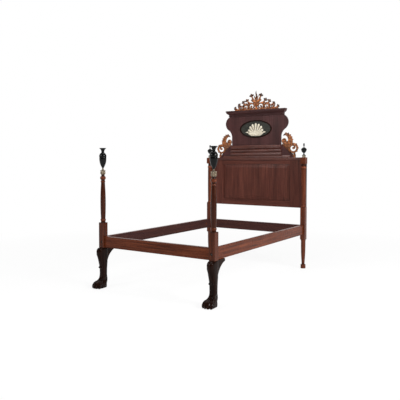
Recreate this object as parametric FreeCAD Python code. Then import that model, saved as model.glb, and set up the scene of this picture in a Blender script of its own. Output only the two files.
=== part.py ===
import FreeCAD, Part
import math
import os

# Four-poster bed with turned posts, lion-paw legs and a carved headboard, in millimetres.
# X runs across the bed, Y from the foot end to the head end, and Z up from the floor.
# The origin is on the floor, in the middle of the overall width and length.
# Pieces that come in pairs are made for the right side and mirrored to the left.

V = FreeCAD.Vector

# Clearances
GLUE_GAP = 0.1               # round tenons, pegs and tongues
PIN_GAP = 0.05               # round dowels, bolts and screws
HOLE_SPARE = 1.0             # depth left free below the end of a pin

# Plan
POST_SPAN_X = 1270.0         # post centre to post centre, across
POST_SPAN_Y = 1970.0         # post centre to post centre, along
TOE_REACH = 128.0            # toes in front of the foot post centre

# Rails and their joints
RAIL_HEIGHT = 107.0
RAIL_THICK = 34.0
RAIL_SETBACK = 18.0          # rail face behind the outer face of the foot post
RAIL_EASE = 2.0
TENON_THICK = 16.0
TENON_LENGTH = 36.0
TENON_SHOULDER = 12.0
TENON_SPLIT = 32.0           # room between twin tenons for the bed bolt
STUB_LENGTH = 12.0
PEG_D = 8.0
PEG_LENGTH = 44.0
PEG_INSET = 10.0

# Bed bolts
BOLT_D = 10.0
BOLT_HEAD_D = 17.0
BOLT_HEAD_H = 7.0
BOLT_RECESS_D = 24.0
BOLT_RECESS_DEPTH = 13.0
WASHER_D = 22.0
WASHER_T = 2.0
NUT_D = 20.0
NUT_LENGTH = 22.0
NUT_DEPTH_IN_RAIL = 92.0     # nut centre from the shoulder of the rail
NUT_PLUG_T = 6.0
BOLT_TAIL = 6.0              # thread past the nut

# Foot posts
FOOT_BLOCK = 60.0
FOOT_BLOCK_H = 243.0
BLOCK_EASE = 1.5
BASE_NECK_D = 47.0
BASE_NECK_H = 13.0
BASE_RING_D = 53.0
BASE_RING_H = 25.0
SHAFT_FOOT_D = 44.0
SHAFT_SWELL = 5.5            # bulge of the shaft beyond a straight taper
SHAFT_TOP_D = 38.0
SHAFT_LENGTH = 352.0
BEAD_D = 44.0
BEAD_H = 20.0
BEAD_GAP = 8.0
MAIN_RING_D = 56.0
MAIN_RING_H = 35.0
NECK_D = 36.0
NECK_H = 19.0
NECK_COVE = 2.0
POST_TENON_D = 28.0
POST_TENON_LENGTH = 70.0

# Gilt collar, gilt base and urn of a foot post
COLLAR_H = 37.0
COLLAR_FOOT_D = 40.0
COLLAR_FOOT_H = 7.0
COLLAR_D = 49.0
COLLAR_DRUM_H = 13.0
COLLAR_WAIST_D = 43.0
COLLAR_WAIST_H = 4.0         # drum to waist
COLLAR_TOP_D = 52.0
COLLAR_RIM_T = 3.0
COLLAR_FLARE = 1.5
COLLAR_SPIGOT_D = 24.0
COLLAR_SPIGOT_H = 15.0
URN_BASE_D = 34.0
URN_BASE_LIP = 4.0
URN_BASE_H = 22.0
URN_BASE_TOP_D = 15.0
URN_TIP_D = 13.0
URN_BELLY_D = 68.0
URN_BELLY_H = 104.0          # tip to belly
URN_BELLY_SWELL = 9.0
URN_NECK_D = 28.0
URN_NECK_H = 48.0            # belly to neck
URN_SHOULDER_SWELL = 9.0
URN_LIP_D = 66.0
URN_LIP_H = 40.0             # neck to lip
URN_LIP_COVE = 6.0
URN_RIM_T = 4.0
URN_DISH_DEPTH = 12.0
URN_DISH_RIM = 4.0
URN_DOWEL_D = 10.0
URN_DOWEL_DOWN = 34.0        # dowel below the gilt base
URN_DOWEL_UP = 28.0          # dowel above the gilt base's top

# Legs under the foot posts
LEG_HEIGHT = 394.0
LEG_LEDGE = 4.0              # leg in front of the block at its top
KNEE_DROP = 44.0             # knee below the top of the leg
KNEE_REACH = 66.0
KNEE_BACK = 36.0
KNEE_WIDTH = 66.0
CALF_DROP = 144.0            # calf below the top of the leg
CALF_FRONT = 42.0
CALF_BACK = 36.0
CALF_WIDTH = 62.0
SHIN_Z = 150.0
SHIN_FRONT = 31.0
SHIN_BACK = 28.0
SHIN_WIDTH = 58.0
ANKLE_Z = 82.0
ANKLE_FRONT = 33.0
ANKLE_BACK = 27.0
ANKLE_WIDTH = 57.0
LEG_CORNER = 18.0
SHIN_SCROLL_RISE = 48.0      # roll above the middle of the shin
SHIN_SCROLL_D = 16.0
SHIN_SCROLL_LENGTH = 40.0
PAW_HALF_WIDTH = 46.0
PAW_FRONT = 98.0
PAW_BACK = 30.0
PAW_HUMP_Z = 52.0
PAW_HUMP_FRONT = 76.0
PAW_HUMP_HALF_WIDTH = 41.0
PAW_CORNER = 24.0
TOE_D = 32.0
TOE_PITCH = 26.0
TOE_LENGTH = 32.0
KNUCKLE_D = 33.0
KNUCKLE_Z = 44.0
BRACKET_REACH = 150.0        # bracket tip behind the post centre
BRACKET_THICK = 50.0
BRACKET_TIP = 22.0
BRACKET_DROP = 152.0
BRACKET_HOLLOW = 26.0

# Head posts
HEAD_FOOT_H = 47.0
HEAD_FOOT_D = 57.0
HEAD_FOOT_ROUND = 7.0
HEAD_ANKLE_D = 34.0
HEAD_ANKLE_H = 10.0
HEAD_LEG_TOP_D = 52.0
HEAD_LEG_SWELL = 3.0
HEAD_LEG_H = 260.0
HEAD_LEG_BEAD_D = 57.0
HEAD_LEG_BEAD_H = 17.0
HEAD_BLOCK = 57.0
HEAD_BLOCK_H = 376.0
COLUMN_D = 51.0
COLUMN_SWELL = 1.5
COLUMN_RING_D = 58.0
COLUMN_RING_H = 18.0
COLUMN_TOP_RING_H = 26.0
COLUMN_NECK_D = 46.0
COLUMN_NECK_H = 30.0
COLUMN_H = 497.0             # block top to cap block
COLUMN_STRIP = 52.0          # flat strip behind the column
CAP_BLOCK = 62.0
CAP_BLOCK_H = 72.0

# Gilt collar and urn finial of a head post
FINIAL_COLLAR_D = 44.0
FINIAL_COLLAR_H = 22.0
FINIAL_COLLAR_COVE = 3.0
FINIAL_FOOT_D = 42.0
FINIAL_FOOT_H = 5.0
FINIAL_STEM_D = 13.0
FINIAL_STEM_H = 22.0
FINIAL_BOWL_D = 64.0
FINIAL_BOWL_H = 46.0
FINIAL_BOWL_SWELL = 7.0
FINIAL_RIM_T = 5.0
FINIAL_LID_D = 50.0
FINIAL_LID_H = 15.0
FINIAL_LID_SWELL = 4.0
FINIAL_TOP_NECK_D = 9.0
FINIAL_TOP_NECK_H = 12.0
FINIAL_KNOB_D = 20.0
FINIAL_KNOB_H = 38.0
FINIAL_TIP_D = 5.0
FINIAL_DOWEL_D = 8.0
FINIAL_DOWEL_DOWN = 30.0     # dowel below the collar
FINIAL_DOWEL_UP = 18.0       # dowel above the collar

# Head panel frame
PANEL_BELOW_COLUMN = 16.0    # frame's foot below the foot of the column
PANEL_ABOVE_CAP = 1.0        # frame's top above the cap blocks
PANEL_FRAME_T = 26.0
PANEL_PAST_POST = 12.0       # frame end beyond the head post centre
STILE_INNER_X = 450.0
PANEL_TOP_RAIL_H = 76.0
PANEL_BOTTOM_RAIL_H = 74.0
FRAME_TENON_T = 9.0
FRAME_TENON_L = 45.0
GROOVE_DEPTH = 10.0
TONGUE_T = 9.0
FIELD_RECESS = 3.0           # raised field behind the frame's face
FIELD_MARGIN = 46.0
CAP_STRIP_H = 28.0
CAP_STRIP_PROUD = 10.0
CAP_STRIP_ROUND = 4.0
CAP_STRIP_GAP = 0.3          # strip end to cap block
PANEL_SCREW_D = 5.0
PANEL_SCREW_HEAD_D = 10.0
PANEL_SCREW_HEAD_H = 3.0
PANEL_SCREW_BITE = 18.0
PANEL_SCREW_ROWS = 4
PANEL_SCREW_MARGIN = 40.0

# Frieze between head panel and crest
FRIEZE_H = 150.0
FRIEZE_T = 26.0
FRIEZE_BOTTOM_HALF = 506.0
FRIEZE_TOP_HALF = 347.0
FRIEZE_BASE_H = 24.0
FRIEZE_BASE_PROUD = 9.0
FRIEZE_BASE_HALF = 450.0
REED_COUNT = 2
REED_H = 43.0
REED_PROUD = 14.0
REED_HALF = 343.0
PLINTH_PROUD = 20.0
PLINTH_HALF = 335.0
PLINTH_ROUND = 5.0

# Crest panel and cornice
CREST_T = 26.0
CREST_STEP = 16.0            # waist of the crest inside the top of the frieze
CREST_WAIST_H = 101.0        # straight part above the frieze
CREST_BULGE_HALF = 421.0
CREST_BULGE_H = 270.0        # widest point above the frieze
CREST_LOBE_R = 95.0
CREST_SHOULDER_H = 357.0     # foot of the cornice above the frieze
CREST_EDGE_ROUND = 6.0
CORNICE_H = 72.0
CORNICE_PROUD = 36.0
CORNICE_BEAD = 9.0
CORNICE_FILLET = 5.0
CORNICE_TOP_BAND = 15.0
CORNICE_TOP_STEP = 5.0

# Oval plaque
OVAL_RISE = 197.0            # oval's centre above the frieze
OVAL_HALF_X = 214.0
OVAL_HALF_Z = 107.0
OVAL_FRAME_W = 14.0
OVAL_FRAME_PROUD = 8.0
OVAL_FRAME_LAP = 5.0
PLAQUE_T = 6.0
PLAQUE_SINK = 1.0            # plaque face below the crest panel's face
RELIEF_T = 10.0
RELIEF_DROP = 74.0           # foot of the shell below the oval's centre
SHELL_RIBS = 9
SHELL_SPREAD = 150.0         # degrees
SHELL_MIN_R = 100.0
SHELL_MAX_R = 142.0
SHELL_RIB_END = 17.0
SHELL_RIB_START = 5.0
SHELL_HINGE_R = 14.0
SPRAY_REACH = 122.0
SPRAY_RISE = 42.0
SPRAY_STEM = 5.0
SPRAY_LEAVES = 3
SPRAY_LEAF = 44.0
SPRAY_LEAF_HALF = 9.0

# Carved work
SCROLL_T = 26.0
VOLUTE_INSET = 18.0          # volute's centre inside the foot of the frieze
VOLUTE_RISE = 110.0          # volute's centre above the head panel
VOLUTE_R = 47.0
VOLUTE_EYE_R = 13.0
VOLUTE_TURNS = 1.45
VOLUTE_BAND = 10.0
VOLUTE_TAPER = 4.0           # band wider at its start and narrower at its eye
VOLUTE_START = 115.0         # degrees
ROSETTE_OUT = 43.0           # rosette's centre outside the waist of the crest
ROSETTE_RISE = 48.0          # rosette's centre above the frieze
ROSETTE_R = 32.0
ROSETTE_EYE_R = 8.0
ROSETTE_TURNS = 1.6
ROSETTE_BAND = 7.0
ROSETTE_EYE_BAND = 3.0
ROSETTE_START = -40.0        # degrees
SCROLL_BODY = 27.0
SCROLL_FOOT_HALF = 24.0
SCROLL_FOOT_H = 26.0
SCROLL_EDGE_BAND = 13.0      # half width of the rib that follows the frieze and the crest
SCROLL_JOIN = (-35.0, 73.0)  # where the leaf leaves the volute, from the volute's centre
CRESTING_T = 22.0
CRESTING_BASE_H = 12.0
CRESTING_BASE_HALF = 296.0
CRESTING_H = 238.0
CRESTING_START = 250.0       # degrees
CRESTING_HOLD = 0.6          # share of a running scroll that keeps its outer radius
STALK_H = 148.0
STALK_FOOT_HALF = 24.0
STALK_HALF = 13.0
STALK_TOP_HALF = 8.0
SPIRE_LAP = 10.0
SPIRE_BELLY_H = 50.0
SPIRE_HALF = 11.0
SPIRE_TIP_HALF = 1.0
STEM_BAND = 9.0
TREFOIL_R = 15.0
CRESTING_TURNS = 1.3
CRESTING_BAND = 0.19         # half width of a scroll's band, as a share of its radius
CRESTING_EYE = 0.3           # radius of a scroll's eye, as a share of its radius
CRESTING_DOWEL_D = 8.0
CRESTING_DOWEL_L = 30.0
CRESTING_DOWEL_PITCH = 190.0

# Leaf that curls over a side scroll: place from the rosette's centre and half width
SCROLL_CROOK = ((-5, 60, 3), (6, 78, 8), (34, 84, 13), (68, 58, 17), (81, 24, 22))

# Running scrolls of the cresting: place across and radius
CRESTING_SCROLLS = ((62, 34), (140, 27), (205, 20))

# Flower stems of the cresting: foot, knee and tip as place across and height above the crest panel
CRESTING_SPRIGS = (
    ((4, 92), (40, 128), (61, 170)),
    ((62, 80), (92, 88), (122, 112)),
    ((140, 65), (156, 74), (173, 96)),
    ((205, 51), (216, 57), (230, 68)),
    ((240, 6), (272, 16), (298, 32)),
)

# Leaves of the cresting: foot, tip, half width and bow
CRESTING_LEAVES = (
    ((6, 58), (70, 116), 13, 0.2),
    ((6, 104), (30, 176), 9, -0.2),
    ((98, 6), (110, 72), 10, 0.2),
    ((172, 6), (186, 58), 9, 0.2),
)

# Back battens
BATTEN_W = 60.0
BATTEN_T = 18.0
BATTEN_X = 190.0
BATTEN_LAP = 66.0            # batten below the top of the head panel
BATTEN_STOP = 60.0           # batten end below the top of the crest panel
BATTEN_SCREWS = 5
BATTEN_SCREW_END = 30.0
BATTEN_SCREW_BITE = 16.0

# Levels and planes that follow from the sizes above
POST_X = POST_SPAN_X / 2
PANEL_SETBACK = HEAD_BLOCK / 2
BACK_REACH = PANEL_SETBACK + PANEL_FRAME_T + BATTEN_T
FOOT_Y = TOE_REACH - (TOE_REACH + POST_SPAN_Y + BACK_REACH) / 2
HEAD_Y = FOOT_Y + POST_SPAN_Y
PANEL_Y = HEAD_Y + PANEL_SETBACK
PANEL_BACK_Y = PANEL_Y + PANEL_FRAME_T
KNEE_Z = LEG_HEIGHT - KNEE_DROP
CALF_Z = LEG_HEIGHT - CALF_DROP
SHIN_SCROLL_Z = SHIN_Z + SHIN_SCROLL_RISE
RAIL_Z0 = LEG_HEIGHT
RAIL_Z1 = RAIL_Z0 + RAIL_HEIGHT
RAIL_MID_Z = (RAIL_Z0 + RAIL_Z1) / 2
RAIL_OUT = FOOT_BLOCK / 2 - RAIL_SETBACK
RAIL_IN = RAIL_THICK - RAIL_OUT
RAIL_MID = (RAIL_OUT - RAIL_IN) / 2
FOOT_BLOCK_TOP = LEG_HEIGHT + FOOT_BLOCK_H
SHAFT_FOOT_Z = FOOT_BLOCK_TOP + BASE_NECK_H + BASE_RING_H
SHAFT_TOP_Z = SHAFT_FOOT_Z + SHAFT_LENGTH
MAIN_RING_Z = SHAFT_TOP_Z + BEAD_H + BEAD_GAP
COLLAR_Z = MAIN_RING_Z + MAIN_RING_H + NECK_H
URN_BASE_Z = COLLAR_Z + COLLAR_H
URN_Z = URN_BASE_Z + URN_BASE_H
HEAD_BLOCK_Z = HEAD_FOOT_H + HEAD_ANKLE_H + HEAD_LEG_H + HEAD_LEG_BEAD_H
COLUMN_Z = HEAD_BLOCK_Z + HEAD_BLOCK_H
CAP_BLOCK_Z = COLUMN_Z + COLUMN_H
FINIAL_COLLAR_Z = CAP_BLOCK_Z + CAP_BLOCK_H
FINIAL_Z = FINIAL_COLLAR_Z + FINIAL_COLLAR_H
PANEL_BOTTOM_Z = COLUMN_Z - PANEL_BELOW_COLUMN
PANEL_TOP_Z = FINIAL_COLLAR_Z + PANEL_ABOVE_CAP
PANEL_HALF = POST_X + PANEL_PAST_POST
CREST_Z = PANEL_TOP_Z + FRIEZE_H
CREST_WAIST_HALF = FRIEZE_TOP_HALF - CREST_STEP
CORNICE_Z = CREST_Z + CREST_SHOULDER_H
CREST_TOP_Z = CORNICE_Z + CORNICE_H
OVAL_Z = CREST_Z + OVAL_RISE
RELIEF_BASE_Z = OVAL_Z - RELIEF_DROP
VOLUTE_X = FRIEZE_BOTTOM_HALF - VOLUTE_INSET
VOLUTE_Z = PANEL_TOP_Z + VOLUTE_RISE
ROSETTE_X = CREST_WAIST_HALF + ROSETTE_OUT
ROSETTE_Z = CREST_Z + ROSETTE_RISE
TENON_Z = (
    (RAIL_Z0 + TENON_SHOULDER, RAIL_MID_Z - TENON_SPLIT / 2),
    (RAIL_MID_Z + TENON_SPLIT / 2, RAIL_Z1 - TENON_SHOULDER),
)


def block(x0, x1, y0, y1, z0, z1):
    """Plain box between two corners."""
    return Part.makeBox(x1 - x0, y1 - y0, z1 - z0, V(x0, y0, z0))


def rod(start, direction, diameter, length):
    """Round bar from a start point along a direction."""
    return Part.makeCylinder(diameter / 2, length, start, direction)


def eased(solid, direction, radius):
    """Block with its edges along one direction rounded."""
    edges = [e for e in solid.Edges if e.tangentAt(e.FirstParameter).cross(direction).Length < 1e-6]
    return solid.makeFillet(radius, edges)


def mirrored(solid):
    """The left-hand partner of a right-hand piece."""
    return solid.mirror(V(0, 0, 0), V(1, 0, 0))


def stretch(lower, upper, swell):
    """Straight stretch of an outline, or an arc that swells to the right of its direction."""
    if abs(swell) < 1e-6:
        return Part.makeLine(lower, upper)
    run = upper - lower
    side = V(run.z, 0, -run.x)
    side.normalize()
    return Part.Arc(lower, (lower + upper) * 0.5 + side * swell, upper).toShape()


def turned(x, y, steps):
    """Turned piece: steps are (diameter, height, swell of the stretch up to the next step)."""
    points = [V(diameter / 2, 0, z) for diameter, z, swell in steps]
    foot = V(0, 0, points[0].z)
    top = V(0, 0, points[-1].z)
    edges = [Part.makeLine(foot, points[0])]
    for lower, upper, step in zip(points, points[1:], steps):
        edges.append(stretch(lower, upper, step[2]))
    edges.append(Part.makeLine(points[-1], top))
    edges.append(Part.makeLine(top, foot))
    solid = Part.Face(Part.Wire(edges)).revolve(V(0, 0, 0), V(0, 0, 1), 360)
    solid.translate(V(x, y, 0))
    return solid


def plate(corners, y0, y1):
    """Flat piece with straight edges through (x, z) corners, from y0 back to y1."""
    points = [V(x, y0, z) for x, z in corners]
    outline = Part.makePolygon(points + points[:1])
    return Part.Face(outline).extrude(V(0, y1 - y0, 0))


def ribbon(spine, half_widths, y0, y1):
    """Carved band along a smooth spine of (x, z) points, with its half width at each point."""
    curve = Part.BSplineCurve()
    points = [V(x, y0, z) for x, z in spine]
    curve.interpolate(points)
    near = []
    far = []
    for point, half in zip(points, half_widths):
        along = curve.tangent(curve.parameter(point))[0]
        across = V(-along.z, 0, along.x) * half
        near.append(point + across)
        far.append(point - across)
    sides = []
    for side in (near, far):
        edge = Part.BSplineCurve()
        edge.interpolate(side)
        sides.append(edge.toShape())
    caps = [Part.makeLine(near[0], far[0]), Part.makeLine(near[-1], far[-1])]
    wire = Part.Wire(Part.__sortEdges__(sides + caps))
    return Part.Face(wire).extrude(V(0, y1 - y0, 0))


def leaf(start, end, half, bow, y0, y1):
    """Pointed leaf from start to end, half wide at its middle, bowed to one side."""
    (x0, z0), (x1, z1) = start, end
    bend_x = (z0 - z1) * bow
    bend_z = (x1 - x0) * bow
    spine = []
    halves = []
    for share, width in ((0, 0.35), (0.25, 0.85), (0.5, 1), (0.75, 0.75), (1, 0.12)):
        lift = 4 * share * (1 - share)
        spine.append((x0 + (x1 - x0) * share + bend_x * lift, z0 + (z1 - z0) * share + bend_z * lift))
        halves.append(half * width)
    return ribbon(spine, halves, y0, y1)


def spiral(x, z, outer, inner, start, turns, hold):
    """Points of a volute: it holds its outer radius for a share of its length, then winds in."""
    count = round(abs(turns) * 12)
    points = []
    for i in range(count + 1):
        share = i / count
        radius = outer * (inner / outer) ** max(0, (share - hold) / (1 - hold))
        angle = math.radians(start) + 2 * math.pi * turns * share
        points.append((x + radius * math.cos(angle), z + radius * math.sin(angle)))
    return points


def tapered(count, first, last):
    """Evenly changing half widths."""
    return [first + (last - first) * i / (count - 1) for i in range(count)]


def joined(solids):
    """One solid from overlapping ones."""
    return solids[0].multiFuse(solids[1:]).removeSplitter()


def end_rail_mortises(face_x, mid_y):
    """Room for the twin tenons of a foot or head rail in the right post."""
    x1 = face_x + TENON_LENGTH + HOLE_SPARE
    half = TENON_THICK / 2 + GLUE_GAP
    return [block(face_x, x1, mid_y - half, mid_y + half, z0 - GLUE_GAP, z1 + GLUE_GAP) for z0, z1 in TENON_Z]


def stub_mortise(face_y, inward):
    """Room for the stub tenon of the right side rail, in a post whose face looks along the rail."""
    mid_x = POST_X + RAIL_MID
    half = TENON_THICK / 2 + GLUE_GAP
    depth = inward * (STUB_LENGTH + HOLE_SPARE)
    y0, y1 = sorted((face_y, face_y + depth))
    z0 = RAIL_Z0 + TENON_SHOULDER - GLUE_GAP
    z1 = RAIL_Z1 - TENON_SHOULDER + GLUE_GAP
    return block(mid_x - half, mid_x + half, y0, y1, z0, z1)


def bolt_line(outer_y, inward, shoulder_y):
    """Bed bolt of the right side rail: its start, direction and the place of its nut."""
    start = V(POST_X + RAIL_MID, outer_y, RAIL_MID_Z)
    nut_y = shoulder_y + inward * NUT_DEPTH_IN_RAIL
    return start, V(0, inward, 0), nut_y


FOOT_BOLT = bolt_line(FOOT_Y - FOOT_BLOCK / 2, 1, FOOT_Y + FOOT_BLOCK / 2)
HEAD_BOLT = bolt_line(HEAD_Y + HEAD_BLOCK / 2, -1, HEAD_Y - HEAD_BLOCK / 2)


def bolt_hole(bolt):
    """Recess and through hole of a bed bolt, as far as the end of its thread."""
    start, direction, nut_y = bolt
    length = abs(nut_y - start.y) + NUT_D / 2 + BOLT_TAIL + HOLE_SPARE
    hole = rod(start, direction, BOLT_D + 2 * PIN_GAP, length)
    recess = rod(start, direction, BOLT_RECESS_D, BOLT_RECESS_DEPTH)
    return hole.fuse(recess)


def bolt_pieces(bolt):
    """Bolt, washer, barrel nut and nut plug of one joint of the right side rail."""
    start, direction, nut_y = bolt
    seat = start + direction * (BOLT_RECESS_DEPTH - WASHER_T)
    shank = abs(nut_y - seat.y) + NUT_D / 2 + BOLT_TAIL
    head = rod(seat - direction * BOLT_HEAD_H, direction, BOLT_HEAD_D, BOLT_HEAD_H)
    bolt_solid = head.fuse(rod(seat, direction, BOLT_D, shank)).removeSplitter()
    through = rod(seat - direction, direction, BOLT_D + 2 * PIN_GAP, shank + 2)
    washer = rod(seat, direction, WASHER_D, WASHER_T).cut(through)
    inner_x = POST_X - RAIL_IN
    nut = rod(V(inner_x + NUT_PLUG_T, nut_y, RAIL_MID_Z), V(1, 0, 0), NUT_D, NUT_LENGTH).cut(through)
    plug = rod(V(inner_x, nut_y, RAIL_MID_Z), V(1, 0, 0), NUT_D, NUT_PLUG_T)
    return bolt_solid, washer, nut, plug


def peg_places(face_x, face_y, inward):
    """Start points and direction of the pegs through the twin tenons in the right post."""
    starts = [V(face_x + PEG_INSET, face_y, (z0 + z1) / 2) for z0, z1 in TENON_Z]
    return starts, V(0, inward, 0)


FOOT_PEGS = peg_places(POST_X - FOOT_BLOCK / 2, FOOT_Y + FOOT_BLOCK / 2, -1)
HEAD_PEGS = peg_places(POST_X - HEAD_BLOCK / 2, HEAD_Y - HEAD_BLOCK / 2, 1)


def pegs(places, gap, spare):
    """Pegs, or the holes for them where a gap is given."""
    starts, direction = places
    return [rod(start, direction, PEG_D + 2 * gap, PEG_LENGTH + spare) for start in starts]


def foot_post():
    """Right foot post: square block, swelled shaft with rings, tenon below and spigot above."""
    half = FOOT_BLOCK / 2
    square = block(POST_X - half, POST_X + half, FOOT_Y - half, FOOT_Y + half, LEG_HEIGHT, FOOT_BLOCK_TOP)
    square = eased(square, V(0, 0, 1), BLOCK_EASE)
    ring_z = FOOT_BLOCK_TOP + BASE_NECK_H
    bead_top = SHAFT_TOP_Z + BEAD_H
    neck_z = MAIN_RING_Z + MAIN_RING_H
    shaft = turned(POST_X, FOOT_Y, (
        (BASE_NECK_D, FOOT_BLOCK_TOP, 0),
        (SHAFT_FOOT_D, ring_z, (BASE_RING_D - SHAFT_FOOT_D) / 2),
        (SHAFT_FOOT_D, SHAFT_FOOT_Z, SHAFT_SWELL),
        (SHAFT_TOP_D, SHAFT_TOP_Z, (BEAD_D - SHAFT_TOP_D) / 2),
        (SHAFT_TOP_D, bead_top, 0),
        (SHAFT_TOP_D, MAIN_RING_Z, (MAIN_RING_D - SHAFT_TOP_D) / 2),
        (SHAFT_TOP_D, neck_z, 0),
        (NECK_D, neck_z, -NECK_COVE),
        (NECK_D, COLLAR_Z, 0),
        (COLLAR_SPIGOT_D, COLLAR_Z, 0),
        (COLLAR_SPIGOT_D, COLLAR_Z + COLLAR_SPIGOT_H, 0),
    ))
    tenon = rod(V(POST_X, FOOT_Y, LEG_HEIGHT), V(0, 0, -1), POST_TENON_D, POST_TENON_LENGTH)
    post = joined([square, shaft, tenon])
    holes = end_rail_mortises(POST_X - half, FOOT_Y - RAIL_MID)
    holes.append(stub_mortise(FOOT_Y + half, -1))
    holes.append(bolt_hole(FOOT_BOLT))
    holes.extend(pegs(FOOT_PEGS, PIN_GAP, HOLE_SPARE))
    holes.append(urn_dowel_hole())
    return post.cut(holes)


def urn_dowel_hole():
    """Hole for the urn's dowel, down through the collar into the post."""
    start = V(POST_X, FOOT_Y, URN_BASE_Z)
    return rod(start, V(0, 0, -1), URN_DOWEL_D + 2 * PIN_GAP, URN_DOWEL_DOWN + HOLE_SPARE)


def foot_collar():
    """Gilt collar on the top of the right shaft."""
    drum_z = COLLAR_Z + COLLAR_FOOT_H
    waist_z = drum_z + COLLAR_DRUM_H + COLLAR_WAIST_H
    solid = turned(POST_X, FOOT_Y, (
        (COLLAR_FOOT_D, COLLAR_Z, (COLLAR_D - COLLAR_FOOT_D) / 4),
        (COLLAR_D, drum_z, 0),
        (COLLAR_D, drum_z + COLLAR_DRUM_H, 0),
        (COLLAR_WAIST_D, waist_z, -COLLAR_FLARE),
        (COLLAR_TOP_D, URN_BASE_Z - COLLAR_RIM_T, 0),
        (COLLAR_TOP_D, URN_BASE_Z, 0),
    ))
    socket = rod(V(POST_X, FOOT_Y, COLLAR_Z), V(0, 0, 1), COLLAR_SPIGOT_D + 2 * PIN_GAP, COLLAR_SPIGOT_H)
    return solid.cut([socket, urn_dowel_hole()])


def urn_dowel():
    """Dowel of the right urn, from the post up into the urn's body."""
    length = URN_DOWEL_DOWN + URN_BASE_H + URN_DOWEL_UP
    return rod(V(POST_X, FOOT_Y, URN_BASE_Z - URN_DOWEL_DOWN), V(0, 0, 1), URN_DOWEL_D, length)


def urn_socket():
    """Hole for the dowel through the gilt base and into the urn."""
    length = URN_BASE_H + URN_DOWEL_UP + HOLE_SPARE
    return rod(V(POST_X, FOOT_Y, URN_BASE_Z), V(0, 0, 1), URN_DOWEL_D + 2 * PIN_GAP, length)


def urn_base():
    """Gilt base under the right urn."""
    return turned(POST_X, FOOT_Y, (
        (URN_BASE_D, URN_BASE_Z, 0),
        (URN_BASE_D, URN_BASE_Z + URN_BASE_LIP, -URN_BASE_LIP),
        (URN_BASE_TOP_D, URN_Z, 0),
    )).cut(urn_socket())


def foot_urn():
    """Black amphora on the right foot post, dished at the lip."""
    belly_z = URN_Z + URN_BELLY_H
    neck_z = belly_z + URN_NECK_H
    lip_z = neck_z + URN_LIP_H
    rim_z = lip_z + URN_RIM_T
    solid = turned(POST_X, FOOT_Y, (
        (URN_TIP_D, URN_Z, URN_BELLY_SWELL),
        (URN_BELLY_D, belly_z, URN_SHOULDER_SWELL),
        (URN_NECK_D, neck_z, -URN_LIP_COVE),
        (URN_LIP_D, lip_z, 0),
        (URN_LIP_D, rim_z, 0),
    ))
    dish_d = URN_LIP_D - 2 * URN_DISH_RIM
    dish = Part.makeCone(0, dish_d / 2, URN_DISH_DEPTH, V(POST_X, FOOT_Y, rim_z - URN_DISH_DEPTH))
    return solid.cut([dish, urn_socket()])


def leg_section(z, front, back, half, corner):
    """Rounded outline of the right leg at one height."""
    x0 = POST_X - half
    x1 = POST_X + half
    y0 = FOOT_Y - front
    y1 = FOOT_Y + back
    diagonal = corner * (1 - math.sqrt(0.5))
    edges = []
    corners = ((x1, y0, -1, 1), (x1, y1, -1, -1), (x0, y1, 1, -1), (x0, y0, 1, 1))
    joints = []
    for i, (x, y, sx, sy) in enumerate(corners):
        along_x = V(x + sx * corner, y, z)
        along_y = V(x, y + sy * corner, z)
        first, last = (along_x, along_y) if i % 2 == 0 else (along_y, along_x)
        joints.append((first, V(x + sx * diagonal, y + sy * diagonal, z), last))
    for arc, following in zip(joints, joints[1:] + joints[:1]):
        edges.append(Part.Arc(*arc).toShape())
        edges.append(Part.makeLine(arc[2], following[0]))
    return Part.Wire(edges)


def toe(offset):
    """One toe: a knuckle that slopes to a rounded tip on the floor."""
    tip = V(POST_X + offset, FOOT_Y - TOE_REACH + TOE_D / 2, TOE_D / 2)
    knuckle = V(POST_X + offset * PAW_HUMP_HALF_WIDTH / PAW_HALF_WIDTH, tip.y + TOE_LENGTH, KNUCKLE_Z)
    slope = knuckle - tip
    diagonal = math.sqrt(0.5)
    near = TOE_D / 2
    far = KNUCKLE_D / 2
    length = slope.Length
    foot = V(0, 0, -near)
    top = V(0, 0, length + far)
    edges = [
        Part.Arc(foot, V(near * diagonal, 0, -near * diagonal), V(near, 0, 0)).toShape(),
        Part.makeLine(V(near, 0, 0), V(far, 0, length)),
        Part.Arc(V(far, 0, length), V(far * diagonal, 0, length + far * diagonal), top).toShape(),
        Part.makeLine(top, foot),
    ]
    solid = Part.Face(Part.Wire(edges)).revolve(V(0, 0, 0), V(0, 0, 1), 360)
    solid.Placement = FreeCAD.Placement(tip, FreeCAD.Rotation(V(0, 0, 1), slope))
    return solid


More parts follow.
